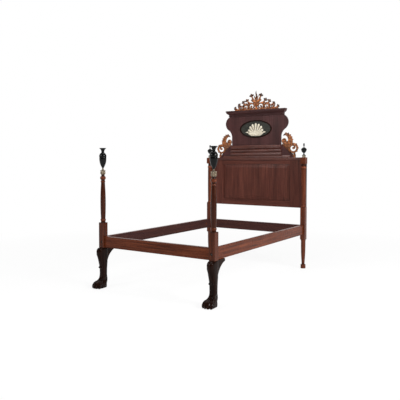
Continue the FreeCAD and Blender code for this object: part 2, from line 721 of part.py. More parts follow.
def foot_leg():
    """Right cabriole leg with its lion's paw, bored for the post's tenon."""
    half = FOOT_BLOCK / 2
    shank = Part.makeLoft([
        leg_section(PAW_HUMP_Z, ANKLE_FRONT, ANKLE_BACK, ANKLE_WIDTH / 2, LEG_CORNER),
        leg_section(ANKLE_Z, ANKLE_FRONT, ANKLE_BACK, ANKLE_WIDTH / 2, LEG_CORNER),
        leg_section(SHIN_Z, SHIN_FRONT, SHIN_BACK, SHIN_WIDTH / 2, LEG_CORNER),
        leg_section(CALF_Z, CALF_FRONT, CALF_BACK, CALF_WIDTH / 2, LEG_CORNER),
        leg_section(KNEE_Z, KNEE_REACH, KNEE_BACK, KNEE_WIDTH / 2, LEG_CORNER),
        leg_section(LEG_HEIGHT, half + LEG_LEDGE, half + LEG_LEDGE, half, LEG_CORNER),
    ], True)
    paw = Part.makeLoft([
        leg_section(0, PAW_FRONT, PAW_BACK, PAW_HALF_WIDTH, PAW_CORNER),
        leg_section(PAW_HUMP_Z / 2, PAW_FRONT, PAW_BACK, PAW_HALF_WIDTH, PAW_CORNER),
        leg_section(PAW_HUMP_Z, PAW_HUMP_FRONT, PAW_BACK, PAW_HUMP_HALF_WIDTH, PAW_CORNER),
        leg_section(ANKLE_Z, ANKLE_FRONT, ANKLE_BACK, ANKLE_WIDTH / 2, LEG_CORNER),
    ], True)
    scroll_y = FOOT_Y - SHIN_FRONT - (CALF_FRONT - SHIN_FRONT) * (SHIN_SCROLL_Z - SHIN_Z) / (CALF_Z - SHIN_Z)
    scroll_x = POST_X - SHIN_SCROLL_LENGTH / 2
    scroll = rod(V(scroll_x, scroll_y, SHIN_SCROLL_Z), V(1, 0, 0), SHIN_SCROLL_D, SHIN_SCROLL_LENGTH)
    toes = [toe(TOE_PITCH * (i - 1.5)) for i in range(4)]
    leg = joined([shank, paw, scroll] + toes)
    bore = rod(
        V(POST_X, FOOT_Y, LEG_HEIGHT), V(0, 0, -1), POST_TENON_D + 2 * GLUE_GAP, POST_TENON_LENGTH + HOLE_SPARE
    )
    return leg.cut(bore)


def knee_bracket(leg):
    """Bracket behind the right leg, hollowed below, up against the side rail."""
    top = LEG_HEIGHT
    inner = V(0, FOOT_Y + CALF_BACK - LEG_CORNER / 2, top)
    tip = V(0, FOOT_Y + BRACKET_REACH, top)
    tip_foot = tip - V(0, 0, BRACKET_TIP)
    foot = inner - V(0, 0, BRACKET_DROP)
    run = tip_foot - foot
    hollow = V(0, -run.z, run.y)
    hollow.normalize()
    middle = (foot + tip_foot) * 0.5 + hollow * BRACKET_HOLLOW
    edges = [
        Part.makeLine(inner, tip),
        Part.makeLine(tip, tip_foot),
        Part.Arc(tip_foot, middle, foot).toShape(),
        Part.makeLine(foot, inner),
    ]
    solid = Part.Face(Part.Wire(edges)).extrude(V(BRACKET_THICK, 0, 0))
    solid.translate(V(POST_X - BRACKET_THICK / 2, 0, 0))
    post_hole = rod(V(POST_X, FOOT_Y, top), V(0, 0, -1), POST_TENON_D + 2 * GLUE_GAP, BRACKET_DROP)
    return solid.cut([leg, post_hole])


def head_post():
    """Right head post: turned leg, square block, column with a flat strip behind it, cap block."""
    half = HEAD_BLOCK / 2
    cap = CAP_BLOCK / 2
    ankle_z = HEAD_FOOT_H + HEAD_ANKLE_H
    bead_z = ankle_z + HEAD_LEG_H
    leg = turned(POST_X, HEAD_Y, (
        (HEAD_FOOT_D - HEAD_FOOT_ROUND, 0, HEAD_FOOT_ROUND / 4),
        (HEAD_FOOT_D, HEAD_FOOT_ROUND, 0),
        (HEAD_FOOT_D, HEAD_FOOT_H - HEAD_FOOT_ROUND, HEAD_FOOT_ROUND / 4),
        (HEAD_FOOT_D - HEAD_FOOT_ROUND, HEAD_FOOT_H, 0),
        (HEAD_ANKLE_D, HEAD_FOOT_H, 0),
        (HEAD_ANKLE_D, ankle_z, HEAD_LEG_SWELL),
        (HEAD_LEG_TOP_D, bead_z, (HEAD_LEG_BEAD_D - HEAD_LEG_TOP_D) / 2),
        (HEAD_LEG_TOP_D, HEAD_BLOCK_Z, 0),
    ))
    square = block(POST_X - half, POST_X + half, HEAD_Y - half, HEAD_Y + half, HEAD_BLOCK_Z, COLUMN_Z)
    square = eased(square, V(0, 0, 1), BLOCK_EASE)
    ring_top = COLUMN_Z + COLUMN_RING_H
    neck_z = CAP_BLOCK_Z - COLUMN_NECK_H
    column = turned(POST_X, HEAD_Y, (
        (COLUMN_D, COLUMN_Z, (COLUMN_RING_D - COLUMN_D) / 2),
        (COLUMN_D, ring_top, COLUMN_SWELL),
        (COLUMN_D, neck_z - COLUMN_TOP_RING_H, (COLUMN_RING_D - COLUMN_D) / 2),
        (COLUMN_D, neck_z, 0),
        (COLUMN_NECK_D, neck_z, 0),
        (COLUMN_NECK_D, CAP_BLOCK_Z, 0),
    ))
    strip_x = COLUMN_STRIP / 2
    strip = block(POST_X - strip_x, POST_X + strip_x, HEAD_Y, PANEL_Y, COLUMN_Z, CAP_BLOCK_Z)
    cap_square = block(POST_X - cap, POST_X + cap, HEAD_Y - cap, PANEL_Y, CAP_BLOCK_Z, FINIAL_COLLAR_Z)
    cap_square = eased(cap_square, V(0, 0, 1), BLOCK_EASE)
    post = joined([leg, square, column, strip, cap_square])
    post = post.common(block(0, 2 * POST_X, HEAD_Y - CAP_BLOCK, PANEL_Y, 0, FINIAL_COLLAR_Z))
    holes = end_rail_mortises(POST_X - half, HEAD_Y + RAIL_MID)
    holes.append(stub_mortise(HEAD_Y - half, 1))
    holes.append(bolt_hole(HEAD_BOLT))
    holes.extend(pegs(HEAD_PEGS, PIN_GAP, HOLE_SPARE))
    holes.append(finial_dowel_hole())
    holes.extend(panel_screw(z, PIN_GAP, HOLE_SPARE) for z in panel_screw_heights())
    return post.cut(holes)


def finial_dowel_hole():
    """Hole for the finial's dowel, down through the collar into the cap block."""
    start = V(POST_X, HEAD_Y, FINIAL_Z)
    length = FINIAL_COLLAR_H + FINIAL_DOWEL_DOWN + HOLE_SPARE
    return rod(start, V(0, 0, -1), FINIAL_DOWEL_D + 2 * PIN_GAP, length)


def finial_collar():
    """Gilt collar on the cap block of the right head post."""
    return turned(POST_X, HEAD_Y, (
        (FINIAL_COLLAR_D, FINIAL_COLLAR_Z, -FINIAL_COLLAR_COVE),
        (FINIAL_COLLAR_D, FINIAL_Z, 0),
    )).cut(finial_dowel_hole())


def finial_dowel():
    """Dowel of the right head finial."""
    start = V(POST_X, HEAD_Y, FINIAL_COLLAR_Z - FINIAL_DOWEL_DOWN)
    length = FINIAL_DOWEL_DOWN + FINIAL_COLLAR_H + FINIAL_DOWEL_UP
    return rod(start, V(0, 0, 1), FINIAL_DOWEL_D, length)


def head_finial():
    """Black covered urn on the right head post."""
    stem_z = FINIAL_Z + FINIAL_FOOT_H + FINIAL_STEM_H
    bowl_z = stem_z + FINIAL_BOWL_H
    lid_z = bowl_z + FINIAL_RIM_T
    neck_z = lid_z + FINIAL_LID_H
    knob_z = neck_z + FINIAL_TOP_NECK_H
    solid = turned(POST_X, HEAD_Y, (
        (FINIAL_FOOT_D, FINIAL_Z, 0),
        (FINIAL_FOOT_D, FINIAL_Z + FINIAL_FOOT_H, -FINIAL_FOOT_H),
        (FINIAL_STEM_D, stem_z, FINIAL_BOWL_SWELL),
        (FINIAL_BOWL_D, bowl_z, 0),
        (FINIAL_BOWL_D, lid_z, 0),
        (FINIAL_LID_D, lid_z, FINIAL_LID_SWELL),
        (FINIAL_TOP_NECK_D, neck_z, 0),
        (FINIAL_TOP_NECK_D, knob_z, (FINIAL_KNOB_D - FINIAL_TOP_NECK_D) / 2),
        (FINIAL_TIP_D, knob_z + FINIAL_KNOB_H, 0),
    ))
    socket = rod(
        V(POST_X, HEAD_Y, FINIAL_Z), V(0, 0, 1), FINIAL_DOWEL_D + 2 * PIN_GAP, FINIAL_DOWEL_UP + HOLE_SPARE
    )
    return solid.cut(socket)


def end_rail(y0, y1, mid_y, half_length, peg_holes):
    """Foot or head rail with twin tenons at both ends."""
    rail = eased(block(-half_length, half_length, y0, y1, RAIL_Z0, RAIL_Z1), V(1, 0, 0), RAIL_EASE)
    reach = half_length + TENON_LENGTH
    half = TENON_THICK / 2
    tenons = [block(-reach, reach, mid_y - half, mid_y + half, z0, z1) for z0, z1 in TENON_Z]
    rail = joined([rail] + tenons)
    return rail.cut(peg_holes + [mirrored(hole) for hole in peg_holes])


def side_rail():
    """Right side rail with stub tenons, bolt holes and nut holes."""
    x0 = POST_X - RAIL_IN
    x1 = POST_X + RAIL_OUT
    y0 = FOOT_Y + FOOT_BLOCK / 2
    y1 = HEAD_Y - HEAD_BLOCK / 2
    rail = eased(block(x0, x1, y0, y1, RAIL_Z0, RAIL_Z1), V(0, 1, 0), RAIL_EASE)
    mid_x = POST_X + RAIL_MID
    half = TENON_THICK / 2
    z0 = RAIL_Z0 + TENON_SHOULDER
    z1 = RAIL_Z1 - TENON_SHOULDER
    stub = block(mid_x - half, mid_x + half, y0 - STUB_LENGTH, y1 + STUB_LENGTH, z0, z1)
    holes = []
    for bolt in (FOOT_BOLT, HEAD_BOLT):
        nut_start = V(x0, bolt[2], RAIL_MID_Z)
        holes.append(bolt_hole(bolt))
        holes.append(rod(nut_start, V(1, 0, 0), NUT_D + 2 * PIN_GAP, NUT_PLUG_T + NUT_LENGTH))
    return joined([rail, stub]).cut(holes)


def panel_screw_heights():
    """Heights of the screws that hold one stile to its post."""
    z0 = PANEL_BOTTOM_Z + PANEL_SCREW_MARGIN
    z1 = FINIAL_COLLAR_Z - PANEL_SCREW_MARGIN
    return [z0 + (z1 - z0) * i / (PANEL_SCREW_ROWS - 1) for i in range(PANEL_SCREW_ROWS)]


def wood_screw(x, y, z, length, gap, spare):
    """Countersunk screw driven forwards from the back, or its hole where a gap is given."""
    shank = rod(V(x, y, z), V(0, -1, 0), PANEL_SCREW_D + 2 * gap, length + spare)
    head = Part.makeCone(
        PANEL_SCREW_HEAD_D / 2 + gap, PANEL_SCREW_D / 2 + gap, PANEL_SCREW_HEAD_H, V(x, y, z), V(0, -1, 0)
    )
    return shank.fuse(head)


def panel_screw(z, gap, spare):
    """Screw through the right stile into the head post."""
    return wood_screw(POST_X, PANEL_BACK_Y, z, PANEL_FRAME_T + PANEL_SCREW_BITE, gap, spare)


def batten_span():
    """Lower and upper end of the back battens."""
    return PANEL_TOP_Z - BATTEN_LAP, CREST_TOP_Z - BATTEN_STOP


def batten_screws(gap, spare):
    """Screws through the right batten into top rail, frieze and crest panel."""
    z0, z1 = batten_span()
    z0 += BATTEN_SCREW_END
    z1 -= BATTEN_SCREW_END
    length = BATTEN_T + BATTEN_SCREW_BITE
    back_y = PANEL_BACK_Y + BATTEN_T
    heights = [z0 + (z1 - z0) * i / (BATTEN_SCREWS - 1) for i in range(BATTEN_SCREWS)]
    return [wood_screw(BATTEN_X, back_y, z, length, gap, spare) for z in heights]


def both_sides(solids):
    """Right-hand pieces with their left-hand partners."""
    return solids + [mirrored(solid) for solid in solids]


def batten():
    """Right back batten."""
    z0, z1 = batten_span()
    half = BATTEN_W / 2
    solid = block(BATTEN_X - half, BATTEN_X + half, PANEL_BACK_Y, PANEL_BACK_Y + BATTEN_T, z0, z1)
    return solid.cut(batten_screws(PIN_GAP, HOLE_SPARE))


PANEL_MID_Y = PANEL_Y + PANEL_FRAME_T / 2
FIELD_Z0 = PANEL_BOTTOM_Z + PANEL_BOTTOM_RAIL_H
FIELD_Z1 = PANEL_TOP_Z - PANEL_TOP_RAIL_H


def frame_tenon(reach, z0, z1):
    """Tenon of a panel rail, through the width of the rail and into both stiles."""
    half = FRAME_TENON_T / 2
    return block(-reach, reach, PANEL_MID_Y - half, PANEL_MID_Y + half, z0, z1)


def field_groove(gap):
    """Space of the board's tongue all round, or its groove where a gap is given."""
    half = TONGUE_T / 2 + gap
    x = STILE_INNER_X + GROOVE_DEPTH + gap
    z0 = FIELD_Z0 - GROOVE_DEPTH - gap
    z1 = FIELD_Z1 + GROOVE_DEPTH + gap
    return block(-x, x, PANEL_MID_Y - half, PANEL_MID_Y + half, z0, z1)


def panel_rail(z0, z1):
    """Top or bottom rail of the head panel frame."""
    rail = block(-STILE_INNER_X, STILE_INNER_X, PANEL_Y, PANEL_BACK_Y, z0, z1)
    inner_z0 = z0 + GROOVE_DEPTH
    inner_z1 = z1 - GROOVE_DEPTH
    rail = joined([rail, frame_tenon(STILE_INNER_X + FRAME_TENON_L, inner_z0, inner_z1)])
    return rail.cut([field_groove(GLUE_GAP)] + both_sides(batten_screws(PIN_GAP, HOLE_SPARE)))


def panel_stile():
    """Right stile of the head panel frame, behind the head post."""
    stile = block(STILE_INNER_X, PANEL_HALF, PANEL_Y, PANEL_BACK_Y, PANEL_BOTTOM_Z, PANEL_TOP_Z)
    reach = STILE_INNER_X + FRAME_TENON_L + HOLE_SPARE
    half = FRAME_TENON_T / 2 + GLUE_GAP
    holes = [field_groove(GLUE_GAP)]
    for z0, z1 in ((PANEL_BOTTOM_Z, FIELD_Z0), (FIELD_Z1, PANEL_TOP_Z)):
        low = z0 + GROOVE_DEPTH - GLUE_GAP
        high = z1 - GROOVE_DEPTH + GLUE_GAP
        holes.append(block(0, reach, PANEL_MID_Y - half, PANEL_MID_Y + half, low, high))
    holes.extend(panel_screw(z, PIN_GAP, HOLE_SPARE) for z in panel_screw_heights())
    return stile.cut(holes)


def panel_rectangle(inset, y):
    """Rectangle inside the panel frame's opening."""
    x = STILE_INNER_X - inset
    z0 = FIELD_Z0 + inset
    z1 = FIELD_Z1 - inset
    return Part.makePolygon([V(-x, y, z0), V(x, y, z0), V(x, y, z1), V(-x, y, z1), V(-x, y, z0)])


def panel_board():
    """Raised and fielded board: a tongue all round and a field with a bevelled margin."""
    tongue = field_groove(0)
    low = panel_rectangle(GLUE_GAP, PANEL_MID_Y - TONGUE_T / 2)
    high = panel_rectangle(FIELD_MARGIN, PANEL_Y + FIELD_RECESS)
    return joined([tongue, Part.makeLoft([low, high], True, True)])


def cap_strip():
    """Moulding along the top rail, between the cap blocks of the head posts."""
    half = POST_X - CAP_BLOCK / 2 - CAP_STRIP_GAP
    z0 = PANEL_TOP_Z - CAP_STRIP_H
    solid = block(-half, half, PANEL_Y - CAP_STRIP_PROUD, PANEL_Y, z0, PANEL_TOP_Z)
    front = [e for e in solid.Edges if e.BoundBox.YMax < PANEL_Y - 1e-3 and e.BoundBox.XLength > half]
    return solid.makeFillet(CAP_STRIP_ROUND, front)


def frieze_board():
    """Board with slanting ends between the head panel and the crest panel."""
    corners = (
        (-FRIEZE_BOTTOM_HALF, PANEL_TOP_Z), (FRIEZE_BOTTOM_HALF, PANEL_TOP_Z),
        (FRIEZE_TOP_HALF, CREST_Z), (-FRIEZE_TOP_HALF, CREST_Z),
    )
    return plate(corners, PANEL_Y, PANEL_Y + FRIEZE_T).cut(both_sides(batten_screws(PIN_GAP, HOLE_SPARE)))


def frieze_base():
    """Splayed moulding along the foot of the frieze."""
    z0 = PANEL_TOP_Z
    z1 = z0 + FRIEZE_BASE_H
    front = PANEL_Y - FRIEZE_BASE_PROUD
    section = [V(0, PANEL_Y, z0), V(0, front, z0), V(0, front, z0 + FRIEZE_BASE_H / 2), V(0, PANEL_Y, z1)]
    solid = Part.Face(Part.makePolygon(section + section[:1])).extrude(V(2 * FRIEZE_BASE_HALF, 0, 0))
    solid.translate(V(-FRIEZE_BASE_HALF, 0, 0))
    return solid


def reed(index):
    """Half-round moulding across the frieze."""
    z0 = PANEL_TOP_Z + FRIEZE_BASE_H + index * REED_H
    low = V(0, PANEL_Y, z0)
    high = V(0, PANEL_Y, z0 + REED_H)
    middle = V(0, PANEL_Y - REED_PROUD, z0 + REED_H / 2)
    edges = [Part.Arc(low, middle, high).toShape(), Part.makeLine(high, low)]
    solid = Part.Face(Part.Wire(edges)).extrude(V(2 * REED_HALF, 0, 0))
    solid.translate(V(-REED_HALF, 0, 0))
    return solid


def plinth():
    """Plain band under the crest panel, rounded at its front edges."""
    z0 = PANEL_TOP_Z + FRIEZE_BASE_H + REED_COUNT * REED_H
    solid = block(-PLINTH_HALF, PLINTH_HALF, PANEL_Y - PLINTH_PROUD, PANEL_Y, z0, CREST_Z)
    front = [e for e in solid.Edges if e.BoundBox.YMax < PANEL_Y - 1e-3 and e.BoundBox.XLength > PLINTH_HALF]
    return solid.makeFillet(PLINTH_ROUND, front)


def crest_side():
    """Right side of the crest panel: straight waist, hollow, lobe, and straight behind the cornice."""
    waist_z = CREST_Z + CREST_WAIST_H
    lobe_x = CREST_BULGE_HALF - CREST_LOBE_R
    lobe_z = CREST_Z + CREST_BULGE_H
    step_x = lobe_x - CREST_WAIST_HALF
    step_z = lobe_z - waist_z
    hollow_r = (step_x ** 2 + step_z ** 2 - CREST_LOBE_R ** 2) / (2 * (CREST_LOBE_R + step_x))
    hollow_x = CREST_WAIST_HALF + hollow_r
    join = V(hollow_x - lobe_x, 0, waist_z - lobe_z)
    join.normalize()
    turn = V(lobe_x, PANEL_Y, lobe_z) + join * CREST_LOBE_R
    sweep = math.atan2(turn.z - waist_z, hollow_x - turn.x) / 2
    hollow_mid = V(hollow_x - hollow_r * math.cos(sweep), PANEL_Y, waist_z + hollow_r * math.sin(sweep))
    waist = V(CREST_WAIST_HALF, PANEL_Y, waist_z)
    rise = CORNICE_Z - lobe_z
    shoulder = V(lobe_x + math.sqrt(CREST_LOBE_R ** 2 - rise ** 2), PANEL_Y, CORNICE_Z)
    return [
        Part.makeLine(V(CREST_WAIST_HALF, PANEL_Y, CREST_Z), waist),
        Part.Arc(waist, hollow_mid, turn).toShape(),
        Part.Arc(turn, V(CREST_BULGE_HALF, PANEL_Y, lobe_z), shoulder).toShape(),
        Part.makeLine(shoulder, V(shoulder.x, PANEL_Y, CREST_TOP_Z)),
    ]


CREST_SHOULDER_HALF = crest_side()[-1].Vertexes[0].X


def oval(half_x, half_z, y0, y1):
    """Oval disc on the crest panel."""
    ellipse = Part.Ellipse(V(half_x, 0, 0), V(0, half_z, 0), V(0, 0, 0))
    disc = Part.Face(Part.Wire([ellipse.toShape()])).extrude(V(0, 0, y1 - y0))
    disc.rotate(V(0, 0, 0), V(1, 0, 0), -90)
    disc.translate(V(0, y0, OVAL_Z))
    return disc


PLAQUE_Y = PANEL_Y + PLAQUE_SINK
PLAQUE_HALF_X = OVAL_HALF_X - OVAL_FRAME_W + OVAL_FRAME_LAP
PLAQUE_HALF_Z = OVAL_HALF_Z - OVAL_FRAME_W + OVAL_FRAME_LAP


def crest_panel():
    """Crest panel with waisted and lobed sides, rounded edge and recess for the oval plaque."""
    right = crest_side()
    left = [mirrored(edge) for edge in right]
    x = CREST_SHOULDER_HALF
    foot = Part.makeLine(V(-CREST_WAIST_HALF, PANEL_Y, CREST_Z), V(CREST_WAIST_HALF, PANEL_Y, CREST_Z))
    top = Part.makeLine(V(-x, PANEL_Y, CREST_TOP_Z), V(x, PANEL_Y, CREST_TOP_Z))
    wire = Part.Wire(Part.__sortEdges__(right + left + [foot, top]))
    board = Part.Face(wire).extrude(V(0, CREST_T, 0))
    front = []
    for edge in board.Edges:
        box = edge.BoundBox
        curved_side = box.YMax < PANEL_Y + 1e-3 and box.ZLength > 1 and box.ZMax < CORNICE_Z + 1e-3
        if curved_side:
            front.append(edge)
    board = board.makeFillet(CREST_EDGE_ROUND, front)
    recess = oval(PLAQUE_HALF_X + GLUE_GAP, PLAQUE_HALF_Z + GLUE_GAP, PANEL_Y, PLAQUE_Y + PLAQUE_T)
    holes = both_sides(batten_screws(PIN_GAP, HOLE_SPARE)) + cresting_dowels(PIN_GAP, HOLE_SPARE)
    return board.cut([recess] + holes)


def cornice_section(origin, out):
    """Moulded section of the cornice: bead, hollow, swell and top band, leaning outwards."""
    def point(proud, height):
        return origin + out * proud + V(0, 0, height)

    band_z = CORNICE_H - CORNICE_TOP_BAND
    wave_out = CORNICE_PROUD - CORNICE_TOP_STEP
    start = point(CORNICE_FILLET, CORNICE_BEAD)
    end = point(wave_out, band_z)
    middle = (start + end) * 0.5
    lean = (end - start).Length / 8
    up = V(0, 0, 1)
    foot = point(CORNICE_FILLET, 0)
    bead = point(CORNICE_FILLET + CORNICE_BEAD / 2, CORNICE_BEAD / 2)
    edges = [
        Part.makeLine(point(0, 0), foot),
        Part.Arc(foot, bead, start).toShape(),
        Part.Arc(start, (start + middle) * 0.5 + (up - out) * lean * 0.5, middle).toShape(),
        Part.Arc(middle, (middle + end) * 0.5 - (up - out) * lean * 0.5, end).toShape(),
        Part.makeLine(end, point(CORNICE_PROUD, band_z)),
        Part.makeLine(point(CORNICE_PROUD, band_z), point(CORNICE_PROUD, CORNICE_H)),
        Part.makeLine(point(CORNICE_PROUD, CORNICE_H), point(0, CORNICE_H)),
        Part.makeLine(point(0, CORNICE_H), point(0, 0)),
    ]
    return Part.Face(Part.Wire(edges))


def mitre_prism(corners):
    """Plan shape of one cornice length, as tall as the cornice."""
    points = [V(x, y, CORNICE_Z) for x, y in corners]
    return Part.Face(Part.makePolygon(points + points[:1])).extrude(V(0, 0, CORNICE_H))


def cornice_front():
    """Front length of the cornice, mitred at both ends."""
    inner = CREST_SHOULDER_HALF
    outer = inner + CORNICE_PROUD
    bar = cornice_section(V(-outer, PANEL_Y, CORNICE_Z), V(0, -1, 0)).extrude(V(2 * outer, 0, 0))
    front = PANEL_Y - CORNICE_PROUD
    return bar.common(mitre_prism(((-inner, PANEL_Y), (inner, PANEL_Y), (outer, front), (-outer, front))))


def cornice_return():
    """Right return of the cornice, along the end of the crest panel."""
    inner = CREST_SHOULDER_HALF
    outer = inner + CORNICE_PROUD
    front = PANEL_Y - CORNICE_PROUD
    back = PANEL_Y + CREST_T
    bar = cornice_section(V(inner, front, CORNICE_Z), V(1, 0, 0)).extrude(V(0, back - front, 0))
    return bar.common(mitre_prism(((inner, PANEL_Y), (outer, front), (outer, back), (inner, back))))


def oval_frame():
    """Moulded ring that covers the edge of the plaque."""
    front = PANEL_Y - OVAL_FRAME_PROUD
    ring = oval(OVAL_HALF_X, OVAL_HALF_Z, front, PANEL_Y)
    ring = ring.cut(oval(OVAL_HALF_X - OVAL_FRAME_W, OVAL_HALF_Z - OVAL_FRAME_W, front, PANEL_Y))
    edges = [e for e in ring.Edges if e.BoundBox.YMax < front + 1e-3]
    return ring.makeFillet(OVAL_FRAME_W / 4, edges)


def oval_plaque():
    """Dark oval ground let into the crest panel, as deep as the frame's back at its edge."""
    return oval(PLAQUE_HALF_X, PLAQUE_HALF_Z, PLAQUE_Y, PLAQUE_Y + PLAQUE_T)


def oval_relief():
    """Scallop shell between two leaf sprays, standing on the plaque."""
    back = PLAQUE_Y
    front = back - RELIEF_T
    solids = [rod(V(0, back, RELIEF_BASE_Z), V(0, -1, 0), 2 * SHELL_HINGE_R, RELIEF_T)]
    for i in range(SHELL_RIBS):
        share = 2 * i / (SHELL_RIBS - 1) - 1
        angle = math.radians(90 - share * SHELL_SPREAD / 2)
        length = SHELL_MAX_R - (SHELL_MAX_R - SHELL_MIN_R) * share ** 2
        reach = [(length - SHELL_RIB_END) * part for part in (0, 0.5, 1)]
        spine = [(r * math.cos(angle), RELIEF_BASE_Z + r * math.sin(angle)) for r in reach]
        end_x, end_z = spine[-1]
        solids.append(ribbon(spine, tapered(len(spine), SHELL_RIB_START, SHELL_RIB_END), front, back))
        solids.append(rod(V(end_x, back, end_z), V(0, -1, 0), 2 * SHELL_RIB_END, RELIEF_T))
    spray_tip = (SPRAY_REACH, RELIEF_BASE_Z + SPRAY_RISE)
    right = [leaf((0, RELIEF_BASE_Z), spray_tip, SPRAY_STEM, -0.18, front, back)]
    for i in range(SPRAY_LEAVES):
        share = (i + 1) / (SPRAY_LEAVES + 1)
        foot = (SPRAY_REACH * share, RELIEF_BASE_Z + SPRAY_RISE * share ** 2)
        tip = (foot[0] + SPRAY_LEAF * 0.75, foot[1] + SPRAY_LEAF * 0.66)
        right.append(leaf(foot, tip, SPRAY_LEAF_HALF, 0.12, front, back))
    return joined(solids + both_sides(right))


def side_scroll():
    """Right carved scroll: outer volute, inner rosette and a leaf that curls over the top."""
    y0 = PANEL_Y
    y1 = PANEL_Y + SCROLL_T
    volute = spiral(VOLUTE_X, VOLUTE_Z, VOLUTE_R, VOLUTE_EYE_R, VOLUTE_START, -VOLUTE_TURNS, 0)
    rosette = spiral(ROSETTE_X, ROSETTE_Z, ROSETTE_R, ROSETTE_EYE_R, ROSETTE_START, -ROSETTE_TURNS, 0)
    wide = VOLUTE_BAND + VOLUTE_TAPER
    join = (VOLUTE_X + SCROLL_JOIN[0], VOLUTE_Z + SCROLL_JOIN[1])
    crook = [(ROSETTE_X + x, ROSETTE_Z + z) for x, z, half in SCROLL_CROOK] + [join, rosette[0]]
    crook_halves = [half for x, z, half in SCROLL_CROOK] + [SCROLL_BODY, ROSETTE_BAND]
    foot = (FRIEZE_BOTTOM_HALF - SCROLL_FOOT_HALF / 2, PANEL_TOP_Z)
    heel = (foot[0] + VOLUTE_BAND, PANEL_TOP_Z + SCROLL_FOOT_H)
    slope_mid = ((FRIEZE_BOTTOM_HALF + FRIEZE_TOP_HALF) / 2, (PANEL_TOP_Z + CREST_Z) / 2)
    solids = [
        ribbon(volute, tapered(len(volute), wide, VOLUTE_BAND - VOLUTE_TAPER), y0, y1),
        rod(V(VOLUTE_X, y0, VOLUTE_Z), V(0, 1, 0), 2 * VOLUTE_EYE_R, SCROLL_T),
        ribbon(rosette, tapered(len(rosette), ROSETTE_BAND, ROSETTE_EYE_BAND), y0, y1),
        rod(V(ROSETTE_X, y0, ROSETTE_Z), V(0, 1, 0), 2 * ROSETTE_EYE_R, SCROLL_T),
        ribbon(crook, crook_halves, y0, y1),
        ribbon([join, volute[0], volute[3]], [SCROLL_BODY - VOLUTE_TAPER, wide, VOLUTE_BAND], y0, y1),
        ribbon([foot, heel, (VOLUTE_X, VOLUTE_Z - VOLUTE_R)], [SCROLL_FOOT_HALF, wide, VOLUTE_BAND], y0, y1),
        ribbon(
            [(FRIEZE_BOTTOM_HALF, PANEL_TOP_Z), slope_mid, (FRIEZE_TOP_HALF, CREST_Z)],
            [SCROLL_EDGE_BAND, wide, SCROLL_EDGE_BAND], y0, y1
        ),
        ribbon(
            [(FRIEZE_TOP_HALF, CREST_Z), (ROSETTE_X, ROSETTE_Z - ROSETTE_R), join],
            [SCROLL_EDGE_BAND, SCROLL_EDGE_BAND, SCROLL_BODY], y0, y1
        ),
        plate([(FRIEZE_TOP_HALF, CREST_Z), slope_mid, join, (ROSETTE_X, ROSETTE_Z)], y0, y1),
    ]
    ground = block(0, POST_X, y0, y1, PANEL_TOP_Z - FRIEZE_H, PANEL_TOP_Z)
    return joined(solids).cut([ground, frieze_board(), crest_panel()])


def cresting_dowels(gap, spare):
    """Dowels between the crest panel's top and the cresting, or their holes where a gap is given."""
    length = CRESTING_DOWEL_L + 2 * spare
    z0 = CREST_TOP_Z - length / 2
    y = PANEL_Y + CREST_T / 2
    places = (-CRESTING_DOWEL_PITCH, 0, CRESTING_DOWEL_PITCH)
    return [rod(V(x, y, z0), V(0, 0, 1), CRESTING_DOWEL_D + 2 * gap, length) for x in places]


def trefoil(x, z, y0, y1):
    """Three-lobed flower head at the end of a stem."""
    lobes = []
    for angle in (90, 210, 330):
        lobe_x = x + TREFOIL_R * 0.8 * math.cos(math.radians(angle))
        lobe_z = z + TREFOIL_R * 0.8 * math.sin(math.radians(angle))
        lobes.append(rod(V(lobe_x, y0, lobe_z), V(0, 1, 0), 2 * TREFOIL_R, y1 - y0))
    return lobes


def sprig(foot, knee, tip, y0, y1):
    """Curved stem from its foot past its knee to a flower head."""
    stem = ribbon([foot, knee, tip], tapered(3, STEM_BAND + 1, STEM_BAND - 1), y0, y1)
    return [stem] + trefoil(tip[0], tip[1], y0, y1)


def cresting():
    """Openwork cresting: a spire, running scrolls that grow smaller outwards, and sprigs of flowers."""
    y0 = PANEL_Y + (CREST_T - CRESTING_T) / 2
    y1 = y0 + CRESTING_T
    z = CREST_TOP_Z
    stalk = [(0, z), (0, z + STALK_H / 2), (0, z + STALK_H)]
    spire = [(0, z + STALK_H - SPIRE_LAP), (0, z + STALK_H + SPIRE_BELLY_H), (0, z + CRESTING_H)]
    centre = [
        block(-CRESTING_BASE_HALF, CRESTING_BASE_HALF, y0, y1, z, z + CRESTING_BASE_H),
        ribbon(stalk, [STALK_FOOT_HALF, STALK_HALF, STALK_TOP_HALF], y0, y1),
        ribbon(spire, [STALK_TOP_HALF, SPIRE_HALF, SPIRE_TIP_HALF], y0, y1),
    ]
    right = []
    for x, radius in CRESTING_SCROLLS:
        middle = z + radius + CRESTING_BASE_H
        band = radius * CRESTING_BAND
        eye = radius * CRESTING_EYE
        scroll = spiral(x, middle, radius, eye, CRESTING_START, CRESTING_TURNS, CRESTING_HOLD)
        right.append(ribbon(scroll, tapered(len(scroll), band, band * 0.7), y0, y1))
        right.append(rod(V(x, y0, middle), V(0, 1, 0), 2 * eye, CRESTING_T))
    for foot, knee, tip in CRESTING_SPRIGS:
        right.extend(sprig(*((x, z + rise) for x, rise in (foot, knee, tip)), y0, y1))
    for foot, tip, half, bow in CRESTING_LEAVES:
        right.append(leaf((foot[0], z + foot[1]), (tip[0], z + tip[1]), half, bow, y0, y1))
    ground = block(-CRESTING_BASE_HALF, CRESTING_BASE_HALF, y0, y1, z - CRESTING_BASE_H, z)
    return joined(centre + both_sides(right)).cut([ground] + cresting_dowels(PIN_GAP, HOLE_SPARE))


def group(solids):
    """Separate like pieces kept together."""
    return Part.makeCompound(solids)


def export(name, shape):
    """Write one piece."""
    shape.exportStep("parts/" + name + ".step")


def export_pair(name, solid):
    """Write a right-hand piece and its left-hand partner."""
    export(name + "_right", solid)
    export(name + "_left", mirrored(solid))


